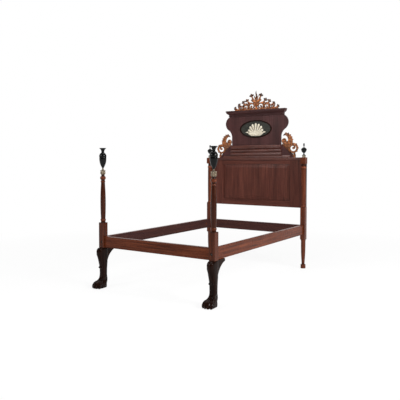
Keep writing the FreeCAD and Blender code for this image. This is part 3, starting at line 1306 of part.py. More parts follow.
os.makedirs("parts", exist_ok=True)

LEG = foot_leg()
export_pair("foot_post", foot_post())
export_pair("foot_leg", LEG)
export_pair("knee_bracket", knee_bracket(LEG))
export_pair("foot_collar", foot_collar())
export_pair("urn_base", urn_base())
export_pair("foot_urn", foot_urn())
export_pair("urn_dowel", urn_dowel())

export_pair("head_post", head_post())
export_pair("finial_collar", finial_collar())
export_pair("head_finial", head_finial())
export_pair("finial_dowel", finial_dowel())

foot_half = POST_X - FOOT_BLOCK / 2
head_half = POST_X - HEAD_BLOCK / 2
foot_holes = pegs(FOOT_PEGS, PIN_GAP, HOLE_SPARE)
head_holes = pegs(HEAD_PEGS, PIN_GAP, HOLE_SPARE)
export("foot_rail", end_rail(FOOT_Y - RAIL_OUT, FOOT_Y + RAIL_IN, FOOT_Y - RAIL_MID, foot_half, foot_holes))
export("head_rail", end_rail(HEAD_Y - RAIL_IN, HEAD_Y + RAIL_OUT, HEAD_Y + RAIL_MID, head_half, head_holes))
export_pair("side_rail", side_rail())
export("foot_rail_pegs", group(both_sides(pegs(FOOT_PEGS, 0, 0))))
export("head_rail_pegs", group(both_sides(pegs(HEAD_PEGS, 0, 0))))
bolt_sets = list(zip(bolt_pieces(FOOT_BOLT), bolt_pieces(HEAD_BOLT)))
for bolt_name, pieces in zip(("bed_bolts", "bolt_washers", "bolt_nuts", "nut_plugs"), bolt_sets):
    export(bolt_name, group(both_sides(list(pieces))))

export_pair("panel_stile", panel_stile())
export("panel_top_rail", panel_rail(FIELD_Z1, PANEL_TOP_Z))
export("panel_bottom_rail", panel_rail(PANEL_BOTTOM_Z, FIELD_Z0))
export("panel_board", panel_board())
export("panel_cap_strip", cap_strip())
export("panel_screws", group(both_sides([panel_screw(z, 0, 0) for z in panel_screw_heights()])))

export("frieze_board", frieze_board())
export("frieze_base_moulding", frieze_base())
export("frieze_reeds", group([reed(i) for i in range(REED_COUNT)]))
export("frieze_plinth", plinth())
export("crest_panel", crest_panel())
export("cornice_front", cornice_front())
export_pair("cornice_return", cornice_return())
export("oval_plaque", oval_plaque())
export("oval_frame", oval_frame())
export("oval_relief", oval_relief())
export_pair("side_scroll", side_scroll())
export("cresting", cresting())
export("cresting_dowels", group(cresting_dowels(0, 0)))
export_pair("back_batten", batten())
export("batten_screws", group(both_sides(batten_screws(0, 0))))
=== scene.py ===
import math

import bmesh
import bpy
from mathutils import Matrix, Vector


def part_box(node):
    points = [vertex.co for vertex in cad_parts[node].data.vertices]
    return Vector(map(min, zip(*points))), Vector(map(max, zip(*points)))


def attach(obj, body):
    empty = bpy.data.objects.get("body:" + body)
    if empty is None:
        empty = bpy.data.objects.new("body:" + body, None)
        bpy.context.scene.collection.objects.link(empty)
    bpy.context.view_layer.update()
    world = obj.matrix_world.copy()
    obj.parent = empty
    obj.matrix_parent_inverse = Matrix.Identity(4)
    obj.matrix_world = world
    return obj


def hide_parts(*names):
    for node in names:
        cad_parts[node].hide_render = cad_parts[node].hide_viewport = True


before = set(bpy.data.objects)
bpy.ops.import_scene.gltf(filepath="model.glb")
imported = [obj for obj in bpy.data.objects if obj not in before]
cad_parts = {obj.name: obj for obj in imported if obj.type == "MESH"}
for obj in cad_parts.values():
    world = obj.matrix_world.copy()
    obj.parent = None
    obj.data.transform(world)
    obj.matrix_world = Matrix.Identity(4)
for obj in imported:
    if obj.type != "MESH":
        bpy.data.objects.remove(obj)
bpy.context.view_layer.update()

# Finishes and carved work of a four-poster bed, in metres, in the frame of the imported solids.
# X runs across the bed, Y from the foot end to the head end, Z up from the floor.

SIDES = {"left": -1, "right": 1}


def middle(node):
    low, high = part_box(node)
    return (low + high) / 2


# Places taken from the solids
FOOT_POST = middle("foot_post_right")
PANEL_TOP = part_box("panel_top_rail")[1].z
CREST_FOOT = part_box("crest_panel")[0].z
CREST_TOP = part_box("crest_panel")[1].z
PLAQUE_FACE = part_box("oval_plaque")[0].y
OVAL_Z = middle("oval_plaque").z
HEAD_POST_Y = middle("head_rail").y
WELL_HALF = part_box("side_rail_right")[0].x
WELL_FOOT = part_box("foot_rail")[1].y
WELL_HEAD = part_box("head_rail")[0].y
SCROLL_Y = middle("side_scroll_right").y
CRESTING_Y = middle("cresting").y

# Painted light up the posts as height and share: painted shade in the turned quirks, painted highlights on the
# rings
FOOT_POST_PAINTED_LIGHT = (
    (0.394, 0.72), (0.630, 0.72), (0.637, 0.35), (0.648, 0.35), (0.655, 0.95), (0.670, 0.95), (0.676, 0.38),
    (0.690, 0.40), (1.018, 0.40), (1.026, 0.28), (1.032, 0.90), (1.042, 0.90), (1.048, 0.22), (1.054, 0.22),
    (1.062, 1.15), (1.082, 1.15), (1.091, 0.22), (1.109, 0.20),
)
HEAD_POST_PAINTED_LIGHT = (
    (0.000, 0.80), (0.045, 0.80), (0.050, 0.35), (0.058, 0.45), (0.066, 0.85), (0.312, 0.85), (0.318, 1.20),
    (0.332, 1.20), (0.336, 0.60), (0.344, 0.90), (0.704, 0.90), (0.710, 0.30), (0.715, 1.50), (0.724, 1.50),
    (0.729, 0.40), (0.740, 0.85), (1.140, 0.85), (1.150, 0.30), (1.156, 1.60), (1.170, 1.60), (1.178, 0.30),
    (1.203, 0.25), (1.208, 0.95), (1.279, 1.00),
)
COLUMN_FOOT = 0.711
COLUMN_TOP = 1.206
STRIP_SETBACK = 0.006        # from a head post's axis to the flat strip behind its column
STRIP_SHADE = 0.30

# Inner faces of the rails, which lie in the bed's own shade: painted shade, a painted grey reflection and less
# polish
INSIDE_SLACK = 0.002
INSIDE_SHADE = 0.42
INSIDE_DULLNESS = 0.55
INSIDE_PAINTED_REFLECTION = 0.32
PAINTED_REFLECTION_TINT = (0.052, 0.030, 0.034)

# Wood: shares of each effect in the finish, and the height of the grain
PORE_SHADE = 0.45
PORE_ROUGHNESS = 0.12
EDGE_WEAR_AND_HIGHLIGHT = 0.55
DARKEST_SHARE = 0.35
STREAK_HEIGHT = 0.4
GRAIN_HEIGHT = 0.0006
# Painted shade in the carvings: darkest near their middle plane, lightest at their faces
CUT_BOTTOM = 0.0025          # carvings are darkest this near to their middle plane
CUT_TOP = 0.0112

# Legs: height, reach in front of and behind the post's axis, half width
LEG_SECTIONS = (
    (0.394, 0.036, 0.032, 0.0305),
    (0.388, 0.060, 0.036, 0.0330),
    (0.376, 0.075, 0.037, 0.0345),
    (0.357, 0.0810, 0.038, 0.0350),
    (0.330, 0.076, 0.038, 0.0345),
    (0.292, 0.063, 0.038, 0.0335),
    (0.250, 0.050, 0.038, 0.0325),
    (0.215, 0.040, 0.035, 0.0315),
    (0.180, 0.035, 0.031, 0.0310),
    (0.145, 0.034, 0.030, 0.0308),
    (0.110, 0.034, 0.029, 0.0308),
    (0.088, 0.036, 0.028, 0.0312),
    (0.074, 0.046, 0.028, 0.0335),
    (0.060, 0.066, 0.028, 0.0390),
    (0.044, 0.084, 0.028, 0.0430),
    (0.026, 0.092, 0.028, 0.0450),
    (0.008, 0.092, 0.027, 0.0445),
    (0.000, 0.088, 0.024, 0.0415),
)
HEEL_HEIGHT = 0.092          # below it the paw narrows towards its heel
HEEL_SHARE = 0.66            # heel's width as a share of the paw's
LEG_SQUARENESS = 0.62        # 1 is an oval section, less is nearer to a square
LEG_SIDES = 32
TOE_PITCH = 0.0255
TOES = ((-1.5, 0.1150), (-0.5, 0.1260), (0.5, 0.1260), (1.5, 0.1150))    # place across in pitches, reach
CLAW_TIP = 0.0022

# Detail of the legs: place across for each step, place along from the post's axis, height, radius
TENDON = (
    (0.017, -0.0300, 0.140, 0.0036), (0.019, -0.0315, 0.104, 0.0052),
    (0.025, -0.0400, 0.079, 0.0062), (0.032, -0.0600, 0.064, 0.0066),
)
HAIR_LOCK = (
    (0.0085, 0.0265, 0.132, 0.0030), (0.0095, 0.0265, 0.100, 0.0050),
    (0.0105, 0.0255, 0.070, 0.0056), (0.0100, 0.0240, 0.040, 0.0028),
)
# Knee leaf: lobes as place across, top and foot; run of a lobe as place across, along, change of that at the side
# lobes, radius
KNEE_LOBES = ((0.0, 0.372, 0.246), (-1.0, 0.364, 0.282), (1.0, 0.364, 0.282))
KNEE_LOBE = (
    (0.012, -0.0690, 0.004, 0.0040), (0.018, -0.0735, 0.005, 0.0065),
    (0.019, -0.0640, 0.005, 0.0062), (0.012, -0.0440, -0.012, 0.0030),
)
ROLL_HEIGHT = 0.198          # small roll across the shin
ROLL_HALF = 0.0200

# Carved scrolls beside the crest
WAIST_HALF = 0.331
SLOPE_FOOT = 0.506
SLOPE_TOP = 0.347
VOLUTE = (SLOPE_FOOT - 0.018, PANEL_TOP + 0.110)
ROSETTE = (WAIST_HALF + 0.043, CREST_FOOT + 0.048)
CROOK = (                    # from the rosette's eye: place across, height, half width
    (-0.012, 0.060, 0.005), (0.003, 0.073, 0.010), (0.030, 0.072, 0.017),
    (0.058, 0.050, 0.0215), (0.071, 0.020, 0.0260),
)
CROOK_LOBES = (0.34, 0.48, 0.62, 0.76, 0.90)
VOLUTE_LOBES = (0.04, 0.14, 0.24, 0.34, 0.44, 0.54)
SCROLL_RIBS = (0.0, 0.25, 0.5, 0.75, 1.0)
SLOPE_BEAD = 0.005           # rise of the edging above the frieze's slope

# Cresting: running scrolls as place across and radius
CRESTING_SCROLLS = ((0.062, 0.034), (0.140, 0.027), (0.205, 0.020))
CRESTING_BASE_HALF = 0.296

# Flower stems of the cresting: foot, knee and tip as place across and height above the crest panel
CRESTING_SPRIGS = (
    ((0.004, 0.092), (0.040, 0.128), (0.061, 0.168)),
    ((0.062, 0.080), (0.092, 0.088), (0.122, 0.112)),
    ((0.140, 0.065), (0.156, 0.074), (0.173, 0.096)),
    ((0.205, 0.051), (0.216, 0.057), (0.230, 0.068)),
    ((0.240, 0.008), (0.268, 0.018), (0.286, 0.032)),
)

# Leaves of the cresting: foot, bend and tip as place across and height, then half width
CRESTING_LEAVES = (
    ((0.006, 0.058), (0.032, 0.098), (0.074, 0.120), 0.0145),
    ((0.006, 0.104), (0.013, 0.140), (0.032, 0.178), 0.0105),
    ((0.098, 0.006), (0.098, 0.040), (0.113, 0.078), 0.0125),
    ((0.110, 0.060), (0.128, 0.078), (0.150, 0.086), 0.0100),
    ((0.172, 0.006), (0.172, 0.032), (0.188, 0.066), 0.0108),
    ((0.228, 0.006), (0.236, 0.030), (0.254, 0.056), 0.0098),
    ((0.250, 0.008), (0.270, 0.010), (0.290, 0.009), 0.0080),
)
CRESTING_BUDS = (80.0, 125.0, 170.0, 215.0)    # round each scroll, in degrees
CRESTING_RAIL = 0.0070       # radius of the rail along its foot
SPRIG_RADII = (0.0120, 0.0108, 0.0092)

# Middle of the cresting: place across, height above the crest panel, radius or half width
STALK = (
    (0.0, 0.012, 0.0220), (0.0, 0.050, 0.0150), (0.0, 0.095, 0.0135), (0.0, 0.125, 0.0105), (0.0, 0.150, 0.0080),
)
BRACT = ((0.004, 0.030, 0.0070), (0.020, 0.064, 0.0090), (0.026, 0.098, 0.0022))
FLAME = ((0.0, 0.140, 0.0070), (0.0040, 0.174, 0.0105), (-0.0035, 0.205, 0.0070), (0.0, 0.2355, 0.0014))
PETALS = (-62.0, 0.0, 62.0)    # slants of a flower's petals, in degrees

# Collars: core as share of height and radius; leaf as share of height, reach from the axis, radius
COLLAR_CORE = ((0.0, 0.0165), (0.25, 0.0215), (0.60, 0.0205), (0.90, 0.0190))
COLLAR_LEAF = (
    (0.12, 0.0168, 0.0078), (0.27, 0.0180, 0.0088), (0.46, 0.0178, 0.0086),
    (0.66, 0.0160, 0.0066), (0.85, 0.0205, 0.0058), (1.00, 0.0236, 0.0032),
)
COLLAR_LEAVES = 8
COLLAR_BEADS = 24
COLLAR_BEAD = 0.0028
COLLAR_BEAD_RING = 0.0190
COLLAR_BEAD_HEIGHT = 0.0030

# Relief on the plaque
SHELL_RIBS = 9
SHELL_SPREAD = math.radians(150.0)
SHELL_REACH = 0.142          # length of the middle rib
SHELL_DROOP = 0.042          # how much shorter the outer ribs are
RELIEF_DROP = 0.074
SPRAY_STEM = ((0.0, -0.004, 0.0045), (0.060, -0.002, 0.0045), (0.112, 0.036, 0.0030))
SPRAY_STEPS = 12
SPRAY_LEAVES = ((0.40, 62.0), (0.62, 52.0), (0.85, 40.0), (0.95, 76.0))    # share of the stem, slant in degrees
SPRAY_LEAF = 0.030

# Carver's habits: beads overlap a little, and leaves have a midrib
BEAD_OVERLAP = 1.15
BLADE_SHARE = 0.7
RIB_SHARE = 0.3
RIB_RADIUS = 0.0012

# Fineness of the carvings' skins
LEG_VOXEL = 0.0018
COLLAR_VOXEL = 0.0009
SCROLL_VOXEL = 0.0017
CRESTING_VOXEL = 0.0019
RELIEF_VOXEL = 0.0014

# Camera and studio
CAMERA_PLACE = (2.9922, -4.7824, 1.2353)
CAMERA_TURN = 0.5948
CAMERA_TILT = -0.0377
CAMERA_LENS = 47.94
CAMERA_SHIFT = (0.0223, -0.0467)
BED_CENTRE = Vector((0.0, 0.0, 0.8))
WALL_WAY = (-0.560, 0.828, 0.0)    # from the bed to the white wall behind it
ROOM_LEVEL = 0.10
FILL_LEVEL = 0.28
WALL_EDGE = (0.35, 0.85)    # cosines from the wall's way between which reflections go from dim to white
FLOOR_FADE = (1.6, 4.5, 0.86, 1.0)    # near and far distance from the bed's middle, share of white at each
FLOOR_RADIUS = 40.0
FAR_CLIP = 200.0
LAMPS = (    # name, place, size, power
    ("side_lamp", (5.6, -1.2, 3.0), 2.4, 320.0),
    ("front_lamp", (-2.2, -5.4, 3.2), 1.8, 110.0),
    ("top_lamp", (0.2, -0.2, 4.8), 3.5, 130.0),
)


# Node helpers

def put(tree, kind, **settings):
    """New node with its properties and socket values set by name."""
    node = tree.nodes.new("ShaderNode" + kind)
    for name, value in settings.items():
        if hasattr(node, name):
            setattr(node, name, value)
        else:
            node.inputs[name.replace("_", " ")].default_value = value
    return node


def join(tree, *pairs):
    for source, target in pairs:
        tree.links.new(source, target)


def effect(name, inputs, outputs):
    """Empty shader node group with named sockets; gives the tree, its input node and its output node."""
    tree = bpy.data.node_groups.new(name, "ShaderNodeTree")
    for socket, kind, value in inputs:
        made = tree.interface.new_socket(name=socket, in_out="INPUT", socket_type="NodeSocket" + kind)
        if value is not None:
            made.default_value = value
    for socket, kind in outputs:
        tree.interface.new_socket(name=socket, in_out="OUTPUT", socket_type="NodeSocket" + kind)
    return tree, tree.nodes.new("NodeGroupInput"), tree.nodes.new("NodeGroupOutput")


def place_effect(tree, group, **values):
    node = tree.nodes.new("ShaderNodeGroup")
    node.node_tree = group
    for name, value in values.items():
        node.inputs[name.replace("_", " ")].default_value = value
    return node


def ramp(tree, source, *stops):
    """Colour ramp on a value; stops are (place, colour)."""
    node = put(tree, "ValToRGB")
    elements = node.color_ramp.elements
    while len(elements) < len(stops):
        elements.new(0.5)
    for element, (place, colour) in zip(elements, stops):
        element.position = place
        element.color = (*colour, 1.0)
    join(tree, (source, node.inputs["Fac"]))
    return node.outputs["Color"]


def spread(tree, source, low, high, to_low, to_high):
    """Value carried from one range to another and held at its ends."""
    node = put(tree, "MapRange", From_Min=low, From_Max=high, To_Min=to_low, To_Max=to_high)
    join(tree, (source, node.inputs["Value"]))
    return node.outputs["Result"]


def blended(tree, share, under, over):
    """Colour mix; each argument is a socket or a plain value."""
    node = put(tree, "Mix", data_type="RGBA")
    for value, socket in ((share, node.inputs[0]), (under, node.inputs[6]), (over, node.inputs[7])):
        if isinstance(value, bpy.types.NodeSocket):
            join(tree, (value, socket))
        elif isinstance(value, tuple):
            socket.default_value = (*value, 1.0)
        else:
            socket.default_value = value
    return node.outputs[2]


def worked(tree, how, first, second):
    """Maths on two values; each is a socket or a number."""
    node = put(tree, "Math", operation=how)
    for value, socket in zip((first, second), node.inputs):
        if isinstance(value, bpy.types.NodeSocket):
            join(tree, (value, socket))
        else:
            socket.default_value = value
    return node.outputs[0]


def stretched_noise(tree, vector, scale, detail, roughness, distortion):
    """Noise whose cells are drawn out by a scale for each axis."""
    size = put(tree, "VectorMath", operation="MULTIPLY")
    size.inputs[1].default_value = scale
    noise = put(tree, "TexNoise", Scale=1.0, Detail=detail, Roughness=roughness, Distortion=distortion)
    join(tree, (vector, size.inputs[0]), (size.outputs[0], noise.inputs["Vector"]))
    return noise.outputs["Fac"]


# Effects that several finishes share

def make_grain():
    """Wood grain along Z: broad figure, fine streaks and open pores."""
    tree, given, out = effect(
        "wood_grain", [("Vector", "Vector", None)],
        [("Figure", "Float"), ("Streaks", "Float"), ("Pores", "Float")])
    vector = given.outputs["Vector"]
    figure = stretched_noise(tree, vector, (8.0, 8.0, 0.9), 3.0, 0.55, 0.9)
    streaks = stretched_noise(tree, vector, (75.0, 75.0, 2.8), 6.0, 0.62, 0.35)
    pores = stretched_noise(tree, vector, (850.0, 850.0, 38.0), 2.0, 0.5, 0.0)
    join(tree, (figure, out.inputs["Figure"]), (streaks, out.inputs["Streaks"]),
         (spread(tree, pores, 0.58, 0.70, 0.0, 1.0), out.inputs["Pores"]))
    return tree


def make_wear_and_shade():
    """Rubbed edges, a mask of the hollows for painted shade, and hand smears."""
    tree, given, out = effect(
        "age_handling_and_hollow_shade", [("Vector", "Vector", None), ("Edge Radius", "Float", 0.003)],
        [("Edges", "Float"), ("Shaded Hollows", "Float"), ("Smears", "Float")])
    soft = put(tree, "Bevel", samples=4)
    sharp = put(tree, "NewGeometry")
    turn = put(tree, "VectorMath", operation="DOT_PRODUCT")
    join(tree, (given.outputs["Edge Radius"], soft.inputs["Radius"]), (soft.outputs[0], turn.inputs[0]),
         (sharp.outputs["Normal"], turn.inputs[1]))
    rubbed = spread(tree, turn.outputs["Value"], 0.985, 0.80, 0.0, 1.0)
    patchy = stretched_noise(tree, given.outputs["Vector"], (22.0, 22.0, 22.0), 4.0, 0.6, 0.2)
    edges = worked(tree, "MULTIPLY", rubbed, spread(tree, patchy, 0.40, 0.62, 0.15, 1.0))
    # Ambient occlusion: the mask for painted shade in the hollows
    shade = put(tree, "AmbientOcclusion", samples=6, only_local=True, Distance=0.03)
    hollows = spread(tree, shade.outputs["AO"], 0.35, 0.95, 1.0, 0.0)
    smears = stretched_noise(tree, given.outputs["Vector"], (5.0, 5.0, 5.0), 5.0, 0.65, 0.6)
    join(tree, (edges, out.inputs["Edges"]), (hollows, out.inputs["Shaded Hollows"]),
         (spread(tree, smears, 0.3, 0.7, 0.0, 1.0), out.inputs["Smears"]))
    return tree


GRAIN = make_grain()
WEAR_AND_SHADE = make_wear_and_shade()
GRAIN_ORDER = {"x": "YZX", "y": "ZXY", "z": "XYZ"}


def object_vector(tree, along="z"):
    """Object coordinates, re-ordered so that the grain axis comes last."""
    place = put(tree, "TexCoord")
    if along == "z":
        return place.outputs["Object"]
    apart = put(tree, "SeparateXYZ")
    together = put(tree, "CombineXYZ")
    join(tree, (place.outputs["Object"], apart.inputs[0]))
    for letter, socket in zip(GRAIN_ORDER[along], together.inputs):
        join(tree, (apart.outputs[letter], socket))
    return together.outputs[0]


def new_material(name, **shader):
    """Material with a Principled shader whose plain values are set on its own sockets."""
    material = bpy.data.materials.new(name)
    material.use_nodes = True
    tree = material.node_tree
    tree.nodes.clear()
    principled = put(tree, "BsdfPrincipled")
    out = put(tree, "OutputMaterial")
    join(tree, (principled.outputs["BSDF"], out.inputs["Surface"]))
    for socket, value in shader.items():
        principled.inputs[socket.replace("_", " ")].default_value = value
    return material, tree, principled


def scaled(tree, colour, share):
    """Colour made darker or lighter by a value."""
    node = put(tree, "VectorMath", operation="SCALE")
    join(tree, (colour, node.inputs[0]), (share, node.inputs["Scale"]))
    return node.outputs[0]


def bumped(tree, principled, height, strength, distance):
    bump = put(tree, "Bump", Strength=strength, Distance=distance)
    join(tree, (height, bump.inputs["Height"]), (bump.outputs["Normal"], principled.inputs["Normal"]))


def wood(name, along, deep, body, light, wear_and_highlight, roughness, sheen=0.11, hollow_shade_share=0.35, bump=0.12,
         figure=(0.70, 1.18), shade=None, dull=None, painted_reflection=None):
    """Polished wood with its grain along one axis; by place, shade gives painted shade and highlights, dull a
    loss of polish, and the last argument a painted grey reflection."""
    material, tree, principled = new_material(name, Specular_IOR_Level=sheen)
    vector = object_vector(tree, along)
    grain = place_effect(tree, GRAIN)
    wear_and_shade = place_effect(tree, WEAR_AND_SHADE)
    join(tree, (vector, grain.inputs["Vector"]), (vector, wear_and_shade.inputs["Vector"]))
    colour = ramp(tree, grain.outputs["Streaks"], (0.32, deep), (0.52, body), (0.72, light))
    depth = spread(tree, grain.outputs["Figure"], 0.32, 0.68, *figure)
    dark = tuple(DARKEST_SHARE * part for part in deep)
    colour = scaled(tree, colour, depth)
    colour = blended(tree, worked(tree, "MULTIPLY", grain.outputs["Pores"], PORE_SHADE), colour, dark)
    # Painted shade in the hollows, towards a darker tone of the wood
    colour = blended(tree, worked(tree, "MULTIPLY", wear_and_shade.outputs["Shaded Hollows"], hollow_shade_share), colour, dark)
    # Lighter edges: wear, and on the ebonised wood also a painted highlight
    colour = blended(tree, worked(tree, "MULTIPLY", wear_and_shade.outputs["Edges"], EDGE_WEAR_AND_HIGHLIGHT), colour, wear_and_highlight)
    # Painted shade and highlights by place
    if shade:
        colour = scaled(tree, colour, shade(tree))
    # Painted grey reflection by place
    if painted_reflection:
        colour = blended(tree, painted_reflection(tree), colour, PAINTED_REFLECTION_TINT)
    rough = spread(tree, wear_and_shade.outputs["Smears"], 0.0, 1.0, roughness - 0.05, roughness + 0.07)
    rough = worked(tree, "ADD", rough, worked(tree, "MULTIPLY", grain.outputs["Pores"], PORE_ROUGHNESS))
    if dull:
        rough = worked(tree, "ADD", rough, dull(tree))
    join(tree, (colour, principled.inputs["Base Color"]), (rough, principled.inputs["Roughness"]))
    streaks = worked(tree, "MULTIPLY", grain.outputs["Streaks"], STREAK_HEIGHT)
    bumped(tree, principled, worked(tree, "SUBTRACT", streaks, grain.outputs["Pores"]), bump, GRAIN_HEIGHT)
    return material


def place_along(tree, axis):
    place = put(tree, "TexCoord")
    apart = put(tree, "SeparateXYZ")
    join(tree, (place.outputs["Object"], apart.inputs[0]))
    return apart.outputs[axis]


def inside_of_frame(tree):
    """1 on the rails' faces that look into the bed, else 0."""
    off_middle = worked(tree, "ABSOLUTE", place_along(tree, "X"), 0.0)
    across = worked(tree, "LESS_THAN", off_middle, WELL_HALF + INSIDE_SLACK)
    past_foot = worked(tree, "GREATER_THAN", place_along(tree, "Y"), WELL_FOOT - INSIDE_SLACK)
    before_head = worked(tree, "LESS_THAN", place_along(tree, "Y"), WELL_HEAD + INSIDE_SLACK)
    return worked(tree, "MULTIPLY", across, worked(tree, "MULTIPLY", past_foot, before_head))


# Painted shade on the inner faces of the rails
def rail_shade(tree):
    return spread(tree, inside_of_frame(tree), 0.0, 1.0, 1.0, INSIDE_SHADE)


def rail_dullness(tree):
    return spread(tree, inside_of_frame(tree), 0.0, 1.0, 0.0, INSIDE_DULLNESS)


# Painted grey reflection on the inner faces of the rails
def rail_painted_reflection(tree):
    return spread(tree, inside_of_frame(tree), 0.0, 1.0, 0.0, INSIDE_PAINTED_REFLECTION)


def painted_light_up_post(tree, marks):
    """Share of the wood's lightness by height, painted as highlights and shade; marks are (height, share)."""
    low, high = marks[0][0], marks[-1][0]
    place = spread(tree, place_along(tree, "Z"), low, high, 0.0, 1.0)
    stops = [((height - low) / (high - low), (share / 2,) * 3) for height, share in marks]
    return worked(tree, "MULTIPLY", ramp(tree, place, *stops), 2.0)


def foot_post_painted_light(tree):
    return painted_light_up_post(tree, FOOT_POST_PAINTED_LIGHT)


def head_post_painted_light(tree):
    """Painted highlights and shade along the head posts, with painted shade darkening the flat strips behind
    their columns.
    """
    height = place_along(tree, "Z")
    behind = worked(tree, "GREATER_THAN", place_along(tree, "Y"), HEAD_POST_Y + STRIP_SETBACK)
    above = worked(tree, "GREATER_THAN", height, COLUMN_FOOT)
    below = worked(tree, "LESS_THAN", height, COLUMN_TOP)
    strip = worked(tree, "MULTIPLY", behind, worked(tree, "MULTIPLY", above, below))
    shade = spread(tree, strip, 0.0, 1.0, 1.0, STRIP_SHADE)
    return worked(tree, "MULTIPLY", painted_light_up_post(tree, HEAD_POST_PAINTED_LIGHT), shade)


def carved_painted_shade(tree, centre, low, high):
    """Painted shade from the two faces of a carving at centre down to the bottom of its cuts, with painted light
    on the faces.
    """
    rise = worked(tree, "ABSOLUTE", worked(tree, "SUBTRACT", place_along(tree, "Y"), centre), 0.0)
    wax = stretched_noise(tree, object_vector(tree), (60.0, 60.0, 60.0), 2.0, 0.5, 0.4)
    depth = spread(tree, rise, CUT_BOTTOM, CUT_TOP, low, high)
    return worked(tree, "MULTIPLY", depth, spread(tree, wax, 0.40, 0.60, 0.40, 1.45))


def scroll_painted_shade(tree):
    return carved_painted_shade(tree, SCROLL_Y, 0.22, 1.20)


def cresting_painted_shade(tree):
    return carved_painted_shade(tree, CRESTING_Y, 0.25, 1.35)


def mahogany(name, along, shade=None, roughness=0.29, sheen=0.11, dull=None, painted_reflection=None):
    return wood(name + "_" + along, along, (0.045, 0.0092, 0.0034), (0.108, 0.0245, 0.0090),
                (0.180, 0.049, 0.0185), (0.26, 0.098, 0.045), roughness, sheen,
                figure=(0.80, 1.08), shade=shade, dull=dull, painted_reflection=painted_reflection)


def panel_mahogany(along):
    return wood("panel_mahogany_" + along, along, (0.046, 0.0120, 0.0082), (0.080, 0.0225, 0.0152),
                (0.116, 0.036, 0.023), (0.16, 0.060, 0.036), 0.34, sheen=0.13)


def frieze_mahogany(along):
    return wood("frieze_mahogany_" + along, along, (0.046, 0.0115, 0.0076), (0.080, 0.0225, 0.0152),
                (0.116, 0.036, 0.023), (0.20, 0.085, 0.055), 0.22, sheen=0.42)


def crest_mahogany(along):
    return wood("crest_mahogany_" + along, along, (0.036, 0.0122, 0.0116), (0.052, 0.0180, 0.0172),
                (0.070, 0.0255, 0.0235), (0.12, 0.046, 0.036), 0.36, sheen=0.12)


def plain_wood(along):
    return wood("plain_wood_" + along, along, (0.16, 0.085, 0.042), (0.30, 0.175, 0.090),
                (0.42, 0.27, 0.15), (0.48, 0.33, 0.20), 0.62, bump=0.25)


# Carved wood with painted shade in its cuts and hollows
def carved_wood(along, shade):
    return wood("carved_honey_wood_" + along, along, (0.130, 0.034, 0.010), (0.300, 0.098, 0.030),
                (0.460, 0.180, 0.066), (0.62, 0.32, 0.14), 0.27, sheen=0.30, hollow_shade_share=0.92,
                figure=(0.60, 1.25), shade=shade)


def dark_carved_wood(along):
    return wood("dark_carved_wood_" + along, along, (0.040, 0.014, 0.007), (0.090, 0.034, 0.016),
                (0.160, 0.066, 0.032), (0.34, 0.17, 0.09), 0.30, sheen=0.25, hollow_shade_share=0.9,
                shade=cresting_painted_shade)


# Its pale edge colour is partly wear through to the brown wood and partly a painted highlight on edges such as
# the toes
def ebonised_wood(along):
    return wood("ebonised_wood_" + along, along, (0.0050, 0.0016, 0.0009), (0.0110, 0.0036, 0.0021),
                (0.0230, 0.0085, 0.0052), (0.190, 0.110, 0.072), 0.12, sheen=0.065, hollow_shade_share=0.6)


def black_gloss_wood(along):
    return wood("black_gloss_wood_" + along, along, (0.0010, 0.0011, 0.0012), (0.0018, 0.0019, 0.0020),
                (0.0030, 0.0031, 0.0032), (0.016, 0.014, 0.012), 0.10, sheen=0.20, hollow_shade_share=0.3, bump=0.03)


def gilt_wood():
    """Water gilding over red clay, rubbed through here and there, and dark in its hollows with painted shade and
    dirt.
    """
    material, tree, principled = new_material("gilt_wood", Specular_IOR_Level=0.3)
    vector = object_vector(tree)
    wear_and_shade = place_effect(tree, WEAR_AND_SHADE, Edge_Radius=0.002)
    join(tree, (vector, wear_and_shade.inputs["Vector"]))
    tone = stretched_noise(tree, vector, (60.0, 60.0, 60.0), 4.0, 0.6, 0.4)
    leaf = ramp(tree, tone, (0.36, (0.062, 0.044, 0.025)), (0.52, (0.215, 0.170, 0.116)),
                (0.66, (0.44, 0.375, 0.29)))
    fleck = stretched_noise(tree, vector, (210.0, 210.0, 210.0), 3.0, 0.6, 0.0)
    rubbed = spread(tree, fleck, 0.60, 0.70, 0.0, 0.7)
    colour = blended(tree, rubbed, leaf, (0.20, 0.07, 0.035))
    # Painted shade and dirt in the hollows
    shade_and_dirt = worked(tree, "MULTIPLY", wear_and_shade.outputs["Shaded Hollows"], 0.9)
    colour = blended(tree, shade_and_dirt, colour, (0.045, 0.033, 0.014))
    metal = worked(tree, "MULTIPLY", worked(tree, "SUBTRACT", 0.75, rubbed), 0.5)
    rough = spread(tree, tone, 0.3, 0.7, 0.28, 0.46)
    join(tree, (colour, principled.inputs["Base Color"]), (rough, principled.inputs["Roughness"]),
         (metal, principled.inputs["Metallic"]))
    bumped(tree, principled, worked(tree, "ADD", tone, rubbed), 0.12, 0.0005)
    return material


def plaque_ground():
    """Dark green-black painted ground with a soft varnish."""
    material, tree, principled = new_material(
        "plaque_ground", Coat_Weight=0.02, Coat_Roughness=0.2, Specular_IOR_Level=0.2)
    vector = object_vector(tree)
    cloud = stretched_noise(tree, vector, (30.0, 30.0, 30.0), 5.0, 0.6, 0.5)
    brush = stretched_noise(tree, vector, (40.0, 400.0, 400.0), 3.0, 0.5, 0.2)
    colour = ramp(tree, cloud, (0.32, (0.010, 0.0105, 0.0075)), (0.55, (0.020, 0.020, 0.0145)),
                  (0.72, (0.036, 0.034, 0.024)))
    rough = spread(tree, brush, 0.3, 0.7, 0.30, 0.46)
    join(tree, (colour, principled.inputs["Base Color"]), (rough, principled.inputs["Roughness"]))
    bumped(tree, principled, brush, 0.06, 0.0004)
    return material


